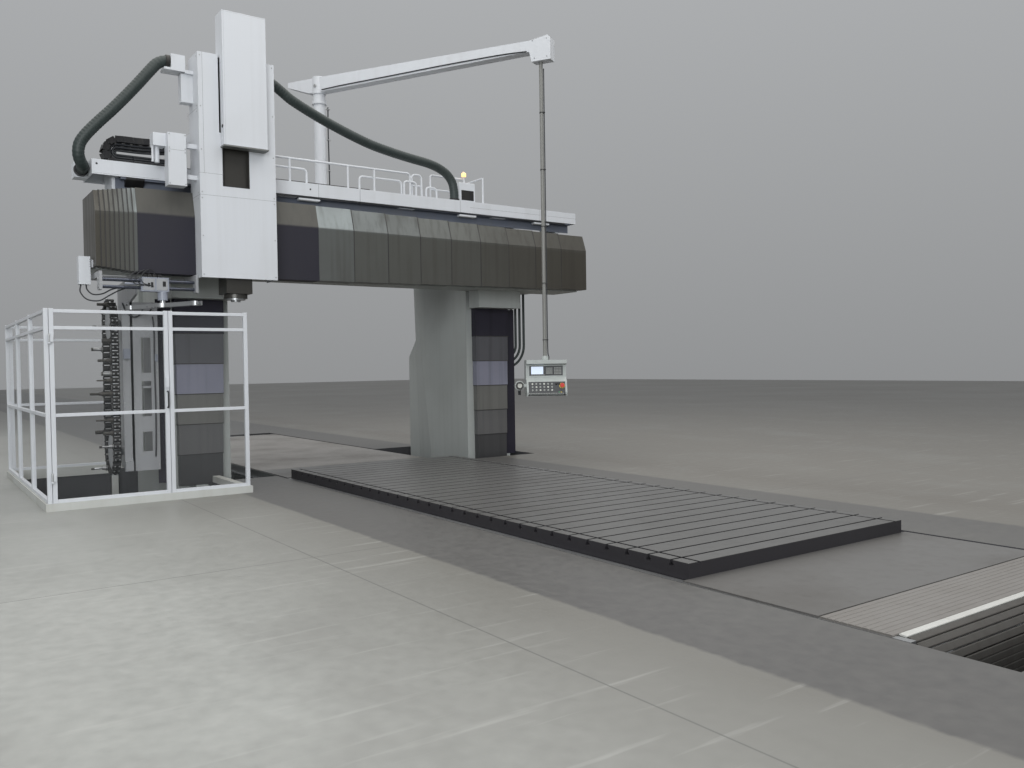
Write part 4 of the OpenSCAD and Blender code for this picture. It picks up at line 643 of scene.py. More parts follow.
navy_sheet = finish("navy_sheet", (0.010, 0.009, 0.019), rough=0.62, dirt=(0.03, 0.03, 0.034), streaks=0.2)
# The slope of the saddle wings above the crease is painted lighter, as light from above
navy = two_tone(navy_sheet, CREASE, (0.080, 0.077, 0.068))
wiper = finish("wiper_rubber", (0.018, 0.017, 0.018), rough=0.6)
dress(navy, "saddle_wings")
for k, tones in enumerate(WAY_TONES, 1):
    dress(way_sheet(k, *tones), f"way_cover_{k}" if k < 9 else "end_covers")
for k in range(1, 9):
    low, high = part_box(f"way_cover_{k}")
    section = [(high.y, high.z + SHEET_PROUD), (low.y + 0.100 - SHEET_PROUD, high.z + SHEET_PROUD),
               (low.y - SHEET_PROUD, CREASE - 0.001 * k), (low.y - SHEET_PROUD, low.z + 0.002)]
    lips = [[((x, y, z), (x + WIPER, y, z)) for y, z in section] for x in (low.x, high.x - WIPER)]
    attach(strip_mesh(f"way_lip_{k}", lips, wiper), f"way_stage_{k}")

column_sheets = [column_sheet(k, tone) for k, tone in enumerate(COLUMN_TONES, 1)]
for k, (sheet, body) in enumerate(zip(column_sheets, COLUMN_BODIES), 1):
    dress(sheet, f"column_cover_{k}")
    low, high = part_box(f"column_cover_{k}")
    half, y0, y1 = high.x - COLUMN_MID + SHEET_PROUD, low.y - SHEET_PROUD, -0.010
    lips = [[((x, y, low.z), (x, y, low.z + 0.012))
             for x, y in ((mid - half, y1), (mid - half, y0), (mid + half, y0), (mid + half, y1))]
            for mid in (-COLUMN_MID, COLUMN_MID)]
    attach(strip_mesh(f"column_lip_{k}", lips, wiper), body)

# Sheets that shield the outer ways of the columns
# These guard sheets take the near-black of the top column cover as painted shade, for the shadow at the
# columns' outer front
shield_y, shield_z = (-0.0025, -0.0005), level(0.002, 2.690)
shields = [((-3.205, -2.990), shield_y, shield_z), ((2.990, 3.205), shield_y, shield_z)]
way_shield_painted_shade = plates("way_shield_painted_shade", shields, column_sheets[0], "base")
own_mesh(way_shield_painted_shade)


# Saddle, housing and ram
# Folded white sheet panels round the saddle butt at thin shaded gaps and are held by small cap
# screws. The ram is scraped steel behind a window with a rubber edge, painted dark as the shade
# inside the housing, and its cover is a white box on top.
HOUSING_X = (-2.905, -1.855)
FACE_Y = -1.365
WINDOW_X = (-2.600, -2.230)
COVER_X = (-2.615, -2.015)
COVER_Y = -1.511
CABINET_Y = (-1.3006, -1.299)
PROUD, SUNK = 0.0006, 0.001
# The ram's steel is painted dark as the shade it lies in inside the housing
ram_steel_painted_shade = finish("ram_painted_shade_steel", (0.062, 0.060, 0.055), rough=0.3, metal=0.5, dirt=(0.03, 0.028, 0.022),
                   patches=0.5)
seam = finish("panel_gap", (0.16, 0.17, 0.18), rough=0.7)
dress(light_grey, "saddle")
dress(white, "saddle_housing", "ram_cover")
dress(ram_steel_painted_shade, "ram")
dress(steel, "spindle", "ram_screw")


def gap(start, width=0.003):
    """Span across a panel gap."""
    return (start, start + width)


def screw_heads(places, out, radius, body, name, material=steel, sides=12, bevel=0.001):
    """Cap screws that stand out of a face by the vector out, at each place."""
    ends = [(at, tuple(a + b for a, b in zip(at, out))) for at in places]
    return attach(rods(name, ends, radius, material, sides, bevel), body)


front_gap = (FACE_Y - PROUD, FACE_Y + SUNK)
left_gap = (HOUSING_X[0] - PROUD, HOUSING_X[0] + SUNK)
right_gap = (HOUSING_X[1] - SUNK, HOUSING_X[1] + PROUD)
foot_seam, shoulder_seam, top_seam = (gap(z) for z in level(4.010, 4.305, 5.180))
gaps = [(HOUSING_X, front_gap, foot_seam), (left_gap, (FACE_Y, -0.815), foot_seam),
        (right_gap, (FACE_Y, -0.815), foot_seam),
        ((HOUSING_X[0], WINDOW_X[0]), front_gap, shoulder_seam), (left_gap, (FACE_Y, -1.310), shoulder_seam),
        (gap(HOUSING_X[0] + 0.058), front_gap, level(4.305, 5.927)),
        (left_gap, (FACE_Y + 0.055, -0.815), top_seam), (right_gap, (FACE_Y + 0.055, -0.815), top_seam),
        ((-3.2925, -3.0555), CABINET_Y, gap(FLOOR + 4.580)), (gap(-3.0575), CABINET_Y, level(4.113, 4.807))]
plates("housing_gaps", gaps, seam, "saddle_body")

side_rows = (3.97, 4.05, 5.14, 5.22, 5.88)
heads = [((x, FACE_Y, z), (x, FACE_Y - 0.004, z)) for x in (HOUSING_X[0] + 0.028, HOUSING_X[1] - 0.028)
         for z in level(2.94, 3.46, 3.97, 4.05, 4.62, 5.20, 5.88)]
for x, out, rows in ((HOUSING_X[0], -0.004, side_rows), (HOUSING_X[1], 0.004, (2.94, *side_rows))):
    heads += [((x, y, z), (x + out, y, z)) for y in (-1.280, -0.850) for z in level(*rows)]
heads += [((x, -1.300, z), (x, -1.304, z)) for x in (-3.275, -3.072)
          for z in level(4.135, 4.555, 4.605, 4.785)]
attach(rods("housing_screws", heads, 0.009, steel, 12, 0.002), "saddle_body")

# Rubber edging of the window, then the dark lip, fold lines and lock of the ram cover
edge_y = (FACE_Y - 0.004, FACE_Y + 0.006)
edging = [(x, edge_y, level(4.150, 4.873))
          for x in ((WINDOW_X[0], WINDOW_X[0] + 0.012), (WINDOW_X[1] - 0.012, WINDOW_X[1]))]
edging += [(WINDOW_X, edge_y, level(4.150, 4.162))]
plates("window_edging", edging, wiper, "saddle_body", bevel=0.002)
low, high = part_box("ram_cover")
lip_x, lip_z = (low.x - 0.002, high.x + 0.002), (low.z - 0.002, low.z + 0.018)
slot_y = (low.y, FACE_Y - 0.010)
cover_lip = [(lip_x, (low.y - 0.002, low.y + 0.006), lip_z), ((lip_x[0], low.x + 0.006), slot_y, lip_z),
             ((low.x, high.x), slot_y, (low.z - 0.003, low.z - 0.001))]
plates("cover_lip", cover_lip, finish("shaded_lip", (0.17, 0.175, 0.17), rough=0.5, metal=0.3), "ram_body")
cover_front = (COVER_Y - PROUD, COVER_Y + SUNK)
cover_gaps = [((COVER_X[0] - PROUD, COVER_X[0] + SUNK), (COVER_Y, FACE_Y - 0.010), gap(FLOOR + 5.800)),
              (gap(COVER_X[0] + 0.020), cover_front, level(4.690, 6.490)),
              (COVER_X, cover_front, gap(FLOOR + 6.478))]
plates("cover_gaps", cover_gaps, finish("fold_line", (0.42, 0.44, 0.46), rough=0.5), "ram_body")
lock = (COVER_X[0], -1.455, FLOOR + 4.945)
lock_ends = [(lock, (lock[0] - out, *lock[1:])) for out in (0.006, 0.010)]
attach(rods("cover_lock", lock_ends, [0.024, 0.015], black, 20, 0.002), "ram_body")


# Walkway
# White sheet walkway with guard rails along the crossrail. Its fascia is cut at three gaps, a dark
# cable tray and lamps hang below, and a switch box and a beacon stand on the deck.
WALK_X = (-4.154, 4.002)
WALK_Y = -0.900
fascia = (WALK_Y - PROUD, WALK_Y + SUNK)
dress(white, "walkway", "handrails")
walk_gaps = [(gap(x, 0.004), fascia, level(4.235, 4.431)) for x in (-1.020, 1.500, 3.180)]
walk_gaps += [((1.700, WALK_X[1]), fascia, level(4.330, 4.333)),
              ((WALK_X[0], -3.300), fascia, level(4.250, 4.252))]
plates("walkway_gaps", walk_gaps, seam, "crossrail_body")
tray_x, tray_y, tray_z = (WALK_X[0] + 0.35, WALK_X[1] - 0.12), (-0.885, -0.760), level(4.205, 4.236)
tray = [((tray_x[0], -0.345), tray_y, tray_z), ((-0.320, tray_x[1]), tray_y, tray_z),
        (tray_x, (-0.380, -0.300), tray_z)]
tray_sheet = finish("tray_sheet", (0.085, 0.098, 0.13), rough=0.5)
tray_cover = [((WALK_X[0] + 0.30, WALK_X[1] - 0.10), (-0.790, -0.781), level(4.075, 4.234))]
plates("tray_cover", tray_cover, finish("tray_cover_sheet", (0.10, 0.115, 0.15), rough=0.5), "crossrail_body")
plates("cable_tray", tray, tray_sheet, "crossrail_body", bevel=0.003)
for i in range(2):
    x = np.linspace(-1.78, 3.75, 24)
    z = FLOOR + 4.215 + 0.008 * i + 0.006 * np.sin(1.3 * x + 2 * i)
    path = np.stack([x, -0.895 - 0.004 * np.sin(2.1 * x + i), z], 1)
    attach(sweep(f"tray_cable_{i}", smooth_path(path, 0.06)[0], 0.007, cable, 8), "crossrail_body")

lamps = [((x, x + 0.34), (-0.893, -0.800), level(4.172, 4.204)) for x in (-1.330, 1.490, 3.060)]
glasses = [((x[0] + 0.015, x[1] - 0.015), (y[0] + 0.012, y[1] - 0.012), (z[0] - 0.004, z[0] + 0.002))
           for x, y, z in lamps]
lamp_glass = finish("lamp_glass", (0.75, 0.77, 0.76), rough=0.2)
plates("work_lamps", lamps, white, "crossrail_body", bevel=0.008)
plates("work_lamp_glass", glasses, lamp_glass, "crossrail_body", bevel=0.002)


def prism(name, outline, x, material, body, bevel):
    """Outline of (y, z) points, anticlockwise seen from +X, drawn out between two x values."""
    n = len(outline)
    vertices = [(a, y, z) for a in x for y, z in outline]
    faces = [range(n - 1, -1, -1), range(n, 2 * n)]
    faces += [(i, (i + 1) % n, n + (i + 1) % n, n + i) for i in range(n)]
    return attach(rounded(mesh_object(name, vertices, faces, material), bevel), body)


flood = [(y, FLOOR + 4.234 - drop) for y, drop in (
    (-0.895, 0.0), (-0.895, 0.030), (-0.760, 0.145), (-0.640, 0.120), (-0.640, 0.0))]
prism("flood_lamp", flood, (-3.740, -3.500), black, "crossrail_body", 0.010)
holes = [(-4.095, WALK_Y - 0.0002, FLOOR + 4.372), (-1.150, WALK_Y - 0.0002, FLOOR + 4.340)]
screw_heads(holes, (0, -0.0028, 0), 0.013, "crossrail_body", "fascia_hole", black, 16, 0.0)
deck_box = [((1.640, 1.965), (-0.652, -0.428), level(4.4315, 4.800))]
plates("deck_box_cover", deck_box, white, "crossrail_body", bevel=0.008)
box_trim = [((1.685, 1.935), (-0.656, -0.650), level(4.500, 4.670))]
plates("deck_box_trim", box_trim, black, "crossrail_body", bevel=0.004)

beacon_glass = finish("beacon_glass", (0.85, 0.45, 0.12), rough=0.25)
beacon_shader = beacon_glass.node_tree.nodes["Principled BSDF"]
beacon_shader.inputs["Emission Color"].default_value = (1.0, 0.62, 0.25, 1)
beacon_shader.inputs["Emission Strength"].default_value = 1.6
dome = [(0.0, 0.041), (0.050, 0.041), (0.066, 0.036), (0.078, 0.024), (0.083, 0.008)]
dome_path = [(1.960, -0.300, FLOOR + 4.989 + h) for h, _ in dome]
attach(sweep("beacon_dome", dome_path, [r for _, r in dome], beacon_glass, 24), "crossrail_body")

# Feed box at the crossrail's left end with its fins and two cable loops down to the magazine
fins = [((-4.198, -4.184), (-0.842, -0.700), gap(z, 0.014)) for z in level(3.020, 3.050, 3.080, 3.110)]
plates("feed_box_fins", fins, seam, "crossrail_body")
feed_loops = [
    [(-4.300, -0.80, 2.795), (-4.318, -0.84, 2.690), (-4.250, -0.90, 2.590), (-4.120, -0.98, 2.570),
     (-4.00, -1.02, 2.640), (-3.900, -1.06, 2.700), (-3.790, -1.09, 2.745)],
    [(-4.240, -0.80, 2.795), (-4.235, -0.84, 2.720), (-4.180, -0.92, 2.655), (-4.080, -1.00, 2.660),
     (-3.980, -1.05, 2.715), (-3.850, -1.10, 2.752)]]


def cable_loop(name, points, radius, step, body, sides=10):
    """Thin cable through points above the shop floor."""
    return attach(sweep(name, smooth_path(raised(points), step)[0], radius, cable, sides), body)


for i, points in enumerate(feed_loops, 1):
    cable_loop(f"feed_cable_{i}", points, 0.009, 0.015, "crossrail_body")


# Tool magazine
# A roller chain of dark pots hangs beside a welded frame and runs over two sprockets. Two bolt heads
# hold each pot, and the cutters point left.
CHAIN_X, CHAIN_Y = -3.790, 0.130
CHAIN_Z = level(0.500, 2.340)
CHAIN_R = 0.300
POTS = 60
FRAME_Y = -0.2402
chain_run = CHAIN_Z[1] - CHAIN_Z[0]
chain_length = 2 * chain_run + 2 * math.pi * CHAIN_R
# Pot, length beyond the pot and radius of each cutter
TOOLS = [(1, 0.120, 0.016), (3, 0.060, 0.024), (5, 0.150, 0.012), (6, 0.040, 0.030), (9, 0.090, 0.020),
         (11, 0.130, 0.010), (12, 0.070, 0.026), (14, 0.110, 0.018), (17, 0.050, 0.032), (19, 0.170, 0.022),
         (23, 0.080, 0.020), (28, 0.140, 0.016), (34, 0.090, 0.024), (41, 0.120, 0.018), (47, 0.060, 0.028),
         (53, 0.150, 0.014)]
frame_grey = finish("frame_enamel", (0.325, 0.332, 0.345), rough=0.45, dirt=(0.14, 0.14, 0.14), streaks=0.2)
blue_grey = finish("blue_grey_enamel", (0.26, 0.28, 0.33), rough=0.38, dirt=(0.12, 0.12, 0.13), streaks=0.2)
dark_iron = finish("dark_iron", (0.055, 0.052, 0.05), rough=0.5, metal=0.5, patches=0.4)
dress(frame_grey, "magazine_frame")
dress(black, "tool_chain")
dress(dark_iron, "cutting_tools")


def chain_spot(s):
    """Point (y, z) on the chain at length s from the foot of the front run, and its outward normal."""
    s %= chain_length
    if s < chain_run:
        return (CHAIN_Y - CHAIN_R, CHAIN_Z[0] + s), (-1.0, 0.0)
    if s < chain_length / 2:
        a = math.pi - (s - chain_run) / CHAIN_R
        v, w = math.cos(a), math.sin(a)
        return (CHAIN_Y + CHAIN_R * v, CHAIN_Z[1] + CHAIN_R * w), (v, w)
    (y, z), (v, w) = chain_spot(s - chain_length / 2)
    return (2 * CHAIN_Y - y, CHAIN_Z[0] + CHAIN_Z[1] - z), (-v, -w)


def turned(name, profile, at, toward, material, sides=28):
    """Turned piece whose profile lists (distance along the axis, radius)."""
    toward = Vector(toward).normalized()
    side = toward.orthogonal().normalized()
    h, r = np.array(profile).T
    axes = (np.tile(axis, (len(h), 1)) for axis in (side, toward.cross(side)))
    vertices = ring_points(np.array(at) + h[:, None] * np.array(toward), r, *axes, sides)
    piece = mesh_object(name, vertices, ring_faces(len(h), sides), material, smooth=True)
    edge = piece.modifiers.new("edges", "EDGE_SPLIT")
    edge.split_angle = math.radians(35)
    return piece


pot_bolts, link_pins, sleeves = [], [], []
for i in range(POTS):
    (y, z), (v, w) = chain_spot(i * chain_length / POTS)
    pot_bolts += [tuple((x, y + out * v, z + out * w) for out in (0.038, 0.0465))
                  for x in (CHAIN_X - 0.029, CHAIN_X + 0.029)]
    sleeves.append(((CHAIN_X - 0.049, y, z), (CHAIN_X - 0.0405, y, z)))
    (y, z), _ = chain_spot((i + 0.5) * chain_length / POTS)
    link_pins.append(((CHAIN_X + 0.0575, y, z), (CHAIN_X + 0.0605, y, z)))
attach(rods("pot_bolts", pot_bolts, 0.0125, steel, 10, 0.003), "crossrail_body")
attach(rods("pot_collars", sleeves, 0.036, black, 20, 0.003), "crossrail_body")
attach(rods("chain_pins", link_pins, 0.0075, steel, 10, 0.001), "crossrail_body")

for n, (pot, length, r) in enumerate(TOOLS):
    (y, z), _ = chain_spot(pot * chain_length / POTS)
    nose = 0.0610 + length
    # Gripped flange of the holder, its taper and the cutter with a thinner end
    profile = [(0.0, 0.0372), (0.007, 0.0372), (0.009, 0.033), (0.012, 0.033), (0.014, 0.0372),
               (0.0185, 0.0372), (0.0195, 0.0275), (0.034, 0.0265), (0.0608, max(0.0245, r + 0.0005)),
               (0.0612, r + 0.0004), (nose - 0.3 * length, r + 0.0004),
               (nose - 0.28 * length, r * 0.86 + 0.0004), (nose - 0.002, r * 0.86 + 0.0004), (nose, r * 0.8)]
    pot_face = (CHAIN_X - 0.0535, y, z)
    tool = turned(f"cutting_tool_{n + 1}", profile, pot_face, (-1, 0, 0), dark_iron if n % 3 else steel)
    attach(tool, "crossrail_body")

# Facing strips, boxes, screws and cables on the magazine frame
facing = [((-3.705, -3.5655), (-0.240, -0.215), level(0.230, 2.620)),
          ((-3.705, -3.6005), (-0.300, -0.2405), level(0.240, 0.380))]
plates("frame_facing", facing, frame_grey, "crossrail_body", bevel=0.002)
frame_boxes = [((-3.700, -3.610), (-0.300, -0.240), level(1.820, 1.960)),
               ((-3.285, -3.240), (-0.275, -0.240), level(1.780, 1.880))]
plates("frame_boxes", frame_boxes, blue_grey, "crossrail_body", bevel=0.004)
places = [(x, FRAME_Y, z) for x in (-3.690, -3.245) for z in level(0.30, 0.75, 1.20, 1.65, 2.10, 2.55)]
screw_heads(places, (0, -0.0043, 0), 0.010, "crossrail_body", "frame_screws")
frame_loops = [
    [(-3.690, -0.2430, 2.60), (-3.66, -0.275, 2.50), (-3.60, -0.295, 2.42), (-3.52, -0.290, 2.41),
     (-3.45, -0.270, 2.47), (-3.42, -0.2430, 2.56)],
    [(-3.640, -0.2430, 2.58), (-3.60, -0.270, 2.52), (-3.50, -0.280, 2.48), (-3.40, -0.275, 2.46),
     (-3.33, -0.265, 2.50), (-3.30, -0.2430, 2.58)],
    [(-3.295, -0.2430, 2.42), (-3.285, -0.262, 2.20), (-3.288, -0.264, 1.70), (-3.283, -0.262, 1.10),
     (-3.290, -0.262, 0.60), (-3.292, -0.2430, 0.42)]]
for i, points in enumerate(frame_loops, 1):
    cable_loop(f"frame_cable_{i}", points, 0.010, 0.015, "crossrail_body")


# Change carriage and arm
# A casting runs on two ground bars under the crossrail and carries the swinging change arm. Valve
# blocks and air lines lie on it, and two bolted grippers stand at each end of the arm.
BAR_Y = -1.120
BAR_Z = level(2.745, 2.840)
CARRIAGE_Y = -1.1815
dress(blue_grey, "tool_carriage")
dress(steel, "change_arm")
bar_steel = finish("bar_steel", (0.10, 0.11, 0.14), rough=0.22, metal=0.8)
bars = [((-4.115, BAR_Y, z), (-2.945, BAR_Y, z)) for z in BAR_Z]
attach(rods("guide_bar_sleeves", bars, 0.0224, bar_steel, 24), "crossrail_body")
places = [(-4.1505, BAR_Y, z) for z in BAR_Z]
screw_heads(places, (-0.0075, 0, 0), 0.020, "crossrail_body", "bar_nuts", steel, 6, 0.0)

panels = [(x, (CARRIAGE_Y, CARRIAGE_Y + 0.0025), level(2.715, 2.867))
          for x in ((-3.618, -3.470), (-3.450, -3.308))]
plates("carriage_panels", panels, frame_grey, "carriage_body", bevel=0.0008)
port_y = (CARRIAGE_Y - 0.0015, CARRIAGE_Y + 0.0015)
ports = [((-3.560, -3.530), port_y, level(2.760, 2.810)), ((-3.520, -3.490), port_y, level(2.750, 2.820)),
         ((-3.370, -3.330), port_y, level(2.765, 2.835))]
plates("carriage_ports", ports, black, "carriage_body", bevel=0.0008)
places = [(x, CARRIAGE_Y + 0.0003, z) for x in (-3.606, -3.482, -3.438, -3.320) for z in level(2.727, 2.855)]
screw_heads(places, (0, -0.0043, 0), 0.007, "carriage_body", "carriage_screws")
valves = [(gap(-3.610 + 0.062 * i, 0.050), (-1.150, -1.090), level(2.885, 2.925)) for i in range(4)]
plates("carriage_valves", valves, black, "carriage_body", bevel=0.004)
for i in range(3):
    x = -3.585 + 0.062 * i
    points = [(x, -1.120, 2.924), (x - 0.01, -1.125, 2.955 + 0.01 * i), (x - 0.08, -1.15, 2.965 + 0.012 * i),
              (x - 0.16, -1.17, 2.92), (x - 0.18, -1.185, 2.86), (x - 0.15, -1.188, 2.80),
              (x - 0.06, -1.186, 2.775), (x - 0.025, -1.184, 2.77)]
    cable_loop(f"air_line_{i + 1}", points, 0.006, 0.012, "carriage_body", 8)

ARM_ANGLE = math.radians(25)
arm_spot = Vector((-3.360, -1.120, FLOOR + 2.4895))
arm_along = Vector((math.cos(ARM_ANGLE), math.sin(ARM_ANGLE), 0))
arm_across = Vector((-math.sin(ARM_ANGLE), math.cos(ARM_ANGLE), 0))
places = [arm_spot + arm_along * (s * d) + arm_across * c for s in (-1, 1)
          for d, c in ((0.150, 0.030), (0.150, -0.030), (0.060, 0.030), (0.060, -0.030), (0.250, 0.0))]
screw_heads(places, (0, 0, -0.006), 0.009, "arm_body", "arm_bolts", black)


# Jib
# A round mast on the top beam carries a tapered boom that turns on a flanged collar with a lock bolt.
# Rings and clips hold the pendant's lead at the mast, and the lead runs on along the boom.
MAST_Y = 1.390
BOOM_ANGLE = math.radians(-60)
BOOM_REACH = 4.300
dress(white, "jib_mast", "jib_boom")
circle = np.linspace(0, 2 * np.pi, 17)
guides = []
for i, z in enumerate(level(6.300, 5.750, 5.200, 4.750), 1):
    ring = [(0.155 + 0.030 * math.cos(a), MAST_Y - 0.02 + 0.030 * math.sin(a), z) for a in circle]
    guides += [sweep(f"lead_ring_{i}", ring, 0.006, steel, 8),
               rods(f"lead_clip_{i}", [((0.098, 1.37, z), (0.128, 1.37, z))], 0.008, steel, 10)]
lead = [(0.155 + 0.006 * math.sin(3 * z), 1.370 + 0.006 * math.cos(4 * z), FLOOR + z)
        for z in np.linspace(4.44, 6.34, 26)]
guides.append(sweep("mast_lead", smooth_path(lead, 0.03)[0], 0.012, cable, 10))
for piece in guides:
    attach(piece, "base")

up_axis = Vector((0, 0, 1))
boom_axis = Vector((math.cos(BOOM_ANGLE), math.sin(BOOM_ANGLE), 0))
boom_side = up_axis.cross(boom_axis)
boom_root = Vector((0, MAST_Y, FLOOR + 6.690))


def on_boom(along, across, height):
    """Point along the boom, across it and above its axis."""
    return boom_root + boom_axis * along + boom_side * across + up_axis * height


boom_bolts = [(on_boom(0.0, side * 0.119, -0.020), on_boom(0.0, side * 0.132, -0.020)) for side in (-1, 1)]
boom_bolts += [(on_boom(a, side * 0.0895, h), on_boom(a, side * 0.096, h)) for side in (-1, 1)
               for a, h in ((4.200, 0.080), (4.440, 0.080), (4.440, -0.200), (4.230, -0.200))]
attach(rods("boom_bolts", boom_bolts, [0.030] * 2 + [0.010] * 8, steel, 16, 0.003), "boom_body")
boom_lead = [on_boom(a, -0.100, h) for a, h in ((0.13, -0.10), (0.6, -0.085), (1.5, -0.075), (2.6, -0.060),
                                                (3.6, -0.060), (4.10, -0.080))]
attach(sweep("boom_lead", smooth_path(boom_lead, 0.05)[0], 0.010, cable, 8), "boom_body")


# Pendant
# A folded housing on a drop pole. Its upright part has a dark panel with a lit screen and keys, its
# sloping desk has key rows, override knobs and a stop button, and a hand wheel unit hangs beside it.
DESK_TILT = math.radians(76.4)
PANEL_Y = -0.100
pendant_enamel = finish("pendant_enamel", (0.42, 0.45, 0.44), rough=0.4, dirt=(0.22, 0.22, 0.2))
pendant_grey = two_tone(pendant_enamel, FLOOR + 1.790, (0.20, 0.20, 0.19), 0.001)
red = finish("red_plastic", (0.55, 0.02, 0.015), rough=0.35)
screen_glass = finish("screen_glass", (0.55, 0.60, 0.68), rough=0.15, patches=0.0, streaks=0.0, bump=0.0)
glow = screen_glass.node_tree.nodes["Principled BSDF"]
glow.inputs["Emission Color"].default_value = (0.62, 0.72, 0.88, 1)
glow.inputs["Emission Strength"].default_value = 0.65
panel_dark = finish("panel_sheet", (0.045, 0.048, 0.052), rough=0.42, patches=0.1, streaks=0.05)
key_grey = finish("key_plastic", (0.30, 0.31, 0.30), rough=0.5, patches=0.1, streaks=0.0)
key_pale = finish("pale_key_plastic", (0.55, 0.56, 0.52), rough=0.5, patches=0.1, streaks=0.0)
key_green = finish("green_key_plastic", (0.05, 0.28, 0.10), rough=0.4)
key_yellow = finish("yellow_key_plastic", (0.55, 0.38, 0.03), rough=0.4)
dress(pendant_grey, "pendant")
dress(black, "hand_wheel")
dress(red, "stop_button")

pendant_at = boom_root + boom_axis * BOOM_REACH + Vector((0, 0, 1.440 - 6.690))
pendant_x = Vector((math.cos(math.radians(-30)), math.sin(math.radians(-30)), 0))
pendant_y = up_axis.cross(pendant_x)
desk_up = pendant_y * math.cos(DESK_TILT) + up_axis * math.sin(DESK_TILT)
desk_out = -pendant_y * math.sin(DESK_TILT) + up_axis * math.cos(DESK_TILT)


def placing(x_axis, y_axis, z_axis, origin):
    """Matrix that carries a piece's own axes to these ones."""
    return Matrix([[*row] for row in zip(x_axis, y_axis, z_axis, origin)] + [[0, 0, 0, 1]])


housing = placing(pendant_x, pendant_y, up_axis, pendant_at)
desk = placing(pendant_x, desk_up, desk_out, housing @ Vector((0, -0.190, -0.1425)))


def slabs(name, spans, material, place=housing, bevel=0.002):
    """Boxes given in the axes of the housing or the desk; the place goes into their mesh."""
    piece = boxes(name, spans, material, bevel=bevel)
    piece.data.transform(place)
    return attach(piece, "pendant_body")


def on_pendant(x, y, z):
    """Point in the housing's own axes."""
    return housing @ Vector((x, y, z))


def key_grid(left, foot, width, height, pitch, columns, rows, proud):
    """Spans of keys in columns and rows on the upright panel."""
    return [(gap(left + pitch * c, width), (PANEL_Y - proud, PANEL_Y), gap(foot + pitch * r, height))
            for c in range(columns) for r in range(rows)]


slabs("pendant_bezel", [((-0.268, 0.112), (-0.1012, -0.096), (0.036, 0.192))], panel_dark)
slabs("pendant_side_panel", [((0.112, 0.268), (-0.1012, -0.096), (0.036, 0.192))], panel_dark)
slabs("pendant_screen", [((-0.238, -0.045), (-0.1026, -0.0995), (0.060, 0.180))], screen_glass, bevel=0.001)
slabs("soft_keys", key_grid(-0.236, 0.0430, 0.028, 0.009, 0.037, 6, 1, 0.0035), key_grey, bevel=0.001)
slabs("data_keys", key_grid(0.0, 0.062, 0.0145, 0.0145, 0.0175, 6, 6, 0.0045), key_grey, bevel=0.001)
slabs("mode_keys", key_grid(0.128, 0.056, 0.020, 0.018, 0.024, 5, 5, 0.0045), key_grey, bevel=0.001)
pole_ties = [((-0.033, 0.054), (-0.033, 0.033), gap(z, 0.012)) for z in (0.60, 1.50, 2.40, 3.30, 4.20)]
slabs("pole_ties", pole_ties, black, bevel=0.001)
slabs("pendant_rear_cover", [((-0.290, 0.290), (0.149, 0.153), (-0.190, 0.210))], pendant_grey, bevel=0.001)

# The desk's dark sheet in four pieces leaves a hole for the stop button's stem
sheet_z = (-0.0115, 0.0014)
sheet = [((-0.290, 0.204), (-0.116, 0.086), sheet_z), ((0.276, 0.290), (-0.116, 0.086), sheet_z),
         ((0.204, 0.276), (-0.116, -0.016), sheet_z), ((0.204, 0.276), (0.056, 0.086), sheet_z)]
slabs("desk_sheet", sheet, panel_dark, desk, bevel=0.0005)
caps = {key_grey: [], key_pale: []}
for x, y in [(-0.230 + 0.062 * c, 0.050 - 0.050 * r) for r in range(3) for c in range(6)]:
    shade = key_grey if (round(x * 1000) + round(y * 1000)) % 3 else key_pale
    caps[shade].append(((x - 0.013, x + 0.013), (y - 0.013, y + 0.013), (0.004, 0.0085)))
slabs("desk_key_caps", caps[key_grey], key_grey, desk)
slabs("desk_key_pale", caps[key_pale], key_pale, desk)
strip = [(gap(-0.290 + 0.0265 * c, 0.020), (-0.110, -0.098), (0.0005, 0.0045)) for c in range(21)]
slabs("desk_strip_keys", strip, key_grey, desk, bevel=0.001)
slabs("start_key", [((0.180, 0.205), (-0.092, -0.080), (0.0005, 0.006))], key_green, desk, bevel=0.001)
slabs("hold_key", [((0.212, 0.237), (-0.092, -0.080), (0.0005, 0.006))], key_yellow, desk, bevel=0.001)
knob = [(0.0, 0.019), (0.004, 0.019), (0.006, 0.016), (0.017, 0.015), (0.019, 0.012)]
for i, x in enumerate((0.150, 0.195), 1):
    foot = desk @ Vector((x, 0.050, -0.002))
    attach(turned(f"override_knob_{i}", knob, foot, desk_out, black, 24), "pendant_body")
    mark = [tuple(desk @ Vector((x, y, 0.0175)) for y in (0.054, 0.061))]
    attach(rods(f"knob_mark_{i}", mark, 0.0012, key_pale, 8), "pendant_body")
stop_ring = [(0.0, 0.045), (0.003, 0.045), (0.004, 0.042)]
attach(turned("stop_surround", stop_ring, desk @ Vector((0.240, 0.020, -0.001)), desk_out, key_yellow, 32),
        "pendant_body")

# Grip rail across the front edge, the lead down the pole and the screws of the rear cover
grip_path = [on_pendant(x, y, z) for x, y, z in (
    (-0.280, -0.203, -0.262), (-0.280, -0.219, -0.268), (-0.260, -0.219, -0.270), (0.260, -0.219, -0.270),
    (0.280, -0.219, -0.268), (0.280, -0.203, -0.262))]
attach(sweep("pendant_grip", smooth_path(grip_path, 0.01)[0], 0.007, black, 10), "pendant_body")
pole_lead = [on_pendant(0.060, 0.030, 0.284), on_pendant(0.066, 0.020, 0.330)]
pole_lead += [on_pendant(x, 0.0, z) for x, z in ((0.046, 0.45), (0.043, 1.2), (0.043, 2.4), (0.043, 3.6),
                                                 (0.043, 4.7), (0.043, 4.90))]
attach(sweep("pole_lead", smooth_path(pole_lead, 0.05)[0], 0.009, cable, 8), "pendant_body")
places = [on_pendant(x, 0.1525, z) for x in (-0.275, 0.0, 0.275) for z in (-0.175, 0.195)]
screw_heads(places, pendant_y * 0.0035, 0.006, "pendant_body", "rear_screws", sides=10)

